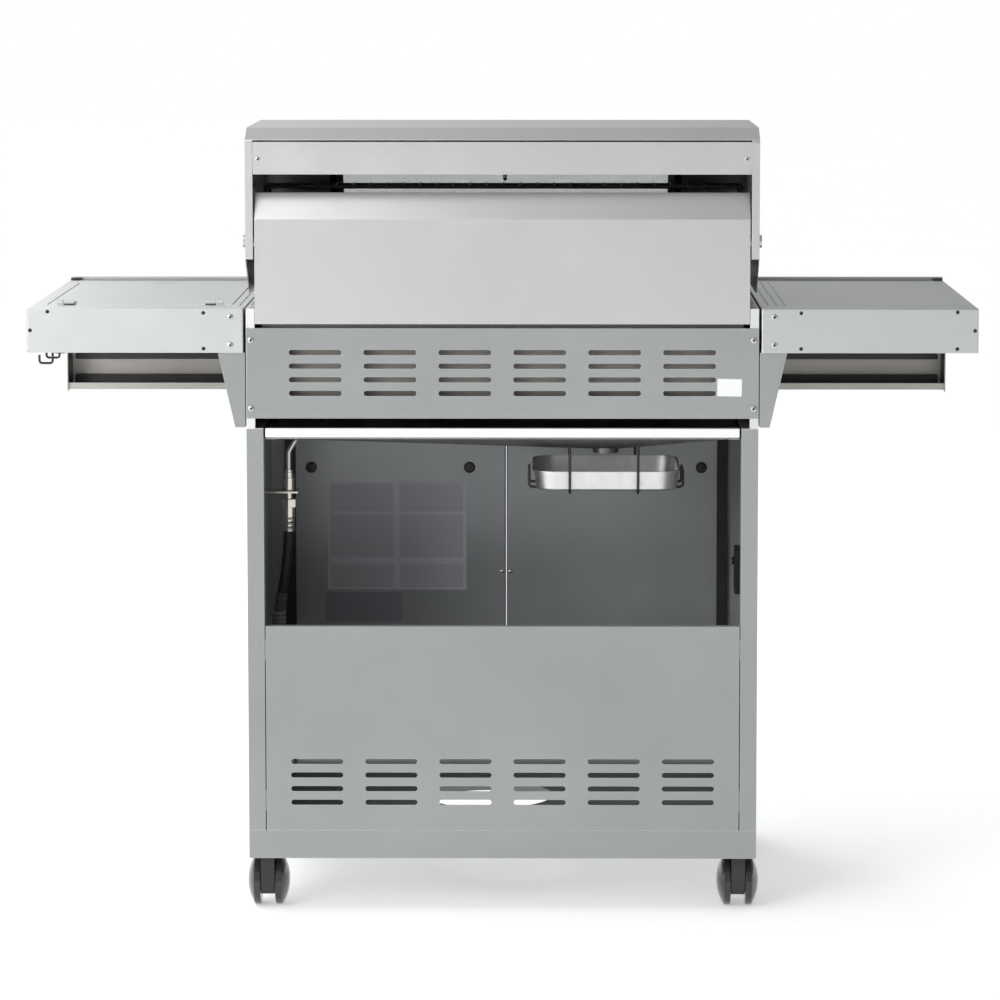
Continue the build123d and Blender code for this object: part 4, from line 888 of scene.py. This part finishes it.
def make_stage():
    """A pale floor, a bright world and large soft lights."""
    mesh = bpy.data.meshes.new("floor")
    corners = [(x * FLOOR_HALF, y * FLOOR_HALF, 0) for x, y in ((-1, -1), (1, -1), (1, 1), (-1, 1))]
    mesh.from_pydata(corners, [], [(0, 1, 2, 3)])
    floor = bpy.data.objects.new("floor", mesh)
    bpy.context.collection.objects.link(floor)
    s = Shader("floor_paint")
    s.set("Base Color", s.ramp(s.noise(1.5, 3.0), [(0.3, (0.90, 0.90, 0.90)), (0.7, (0.93, 0.93, 0.93))]))
    s.set("Roughness", 0.9)
    s.set("Emission Color", (1.0, 1.0, 1.0, 1.0))
    s.set("Emission Strength", GLOW)
    floor.data.materials.append(s.material)
    make_world()
    middle = (0.0, 0.0, 0.6)
    area_light("key_rear_left", (2.9, 4.0, 1.9), middle, (2.0, 2.2), 72)
    area_light("key_front", (2.2, -3.6, 2.4), middle, (1.8, 1.8), 42)
    area_light("top_rear", (1.2, 1.7, 3.7), (0.0, 0.2, 1.0), (1.6, 1.0), 14)
    bpy.context.scene.view_settings.view_transform = "Standard"


def map_range(nodes, links, socket, limits):
    """A smooth map from one range to another; limits are from min, from max, to min, to max."""
    node = nodes.new("ShaderNodeMapRange")
    node.interpolation_type = "SMOOTHSTEP"
    for name, value in zip(("From Min", "From Max", "To Min", "To Max"), limits):
        node.inputs[name].default_value = value
    links.new(socket, node.inputs["Value"])
    return node.outputs[0]


SIDE_GLOW = (-0.24, 0.26, 0.30, 1.0)
SKY_GLOW = (-0.35, 0.30, 0.60, 1.0)


def make_world():
    """A white studio for the camera; for the object, a soft box brighter on one side and above."""
    world = bpy.data.worlds.new("studio")
    world.use_nodes = True
    bpy.context.scene.world = world
    nodes = world.node_tree.nodes
    links = world.node_tree.links
    lit = nodes["Background"]
    place = nodes.new("ShaderNodeTexCoord").outputs["Generated"]
    split = nodes.new("ShaderNodeSeparateXYZ")
    links.new(place, split.inputs[0])
    product = nodes.new("ShaderNodeMath")
    product.operation = "MULTIPLY"
    links.new(map_range(nodes, links, split.outputs["X"], SIDE_GLOW), product.inputs[0])
    links.new(map_range(nodes, links, split.outputs["Z"], SKY_GLOW), product.inputs[1])
    lit.inputs["Color"].default_value = (0.97, 0.985, 1.0, 1.0)
    links.new(product.outputs[0], lit.inputs["Strength"])
    white = nodes.new("ShaderNodeBackground")
    white.inputs["Color"].default_value = (1.0, 1.0, 1.0, 1.0)
    white.inputs["Strength"].default_value = 1.0
    choose = nodes.new("ShaderNodeMixShader")
    links.new(nodes.new("ShaderNodeLightPath").outputs["Is Camera Ray"], choose.inputs["Fac"])
    links.new(lit.outputs[0], choose.inputs[1])
    links.new(white.outputs[0], choose.inputs[2])
    links.new(choose.outputs[0], nodes["World Output"].inputs["Surface"])


make_camera()
make_hose()
make_stage()
finish_cad_nodes()
make_fasteners()
make_door_trim()
make_labels()
make_dial()
make_knob_trim()
make_shelf_caps()
make_fascia_stiffeners()
make_apron_plugs()
make_burner_wires()
make_door_seals()
make_tray_tabs()
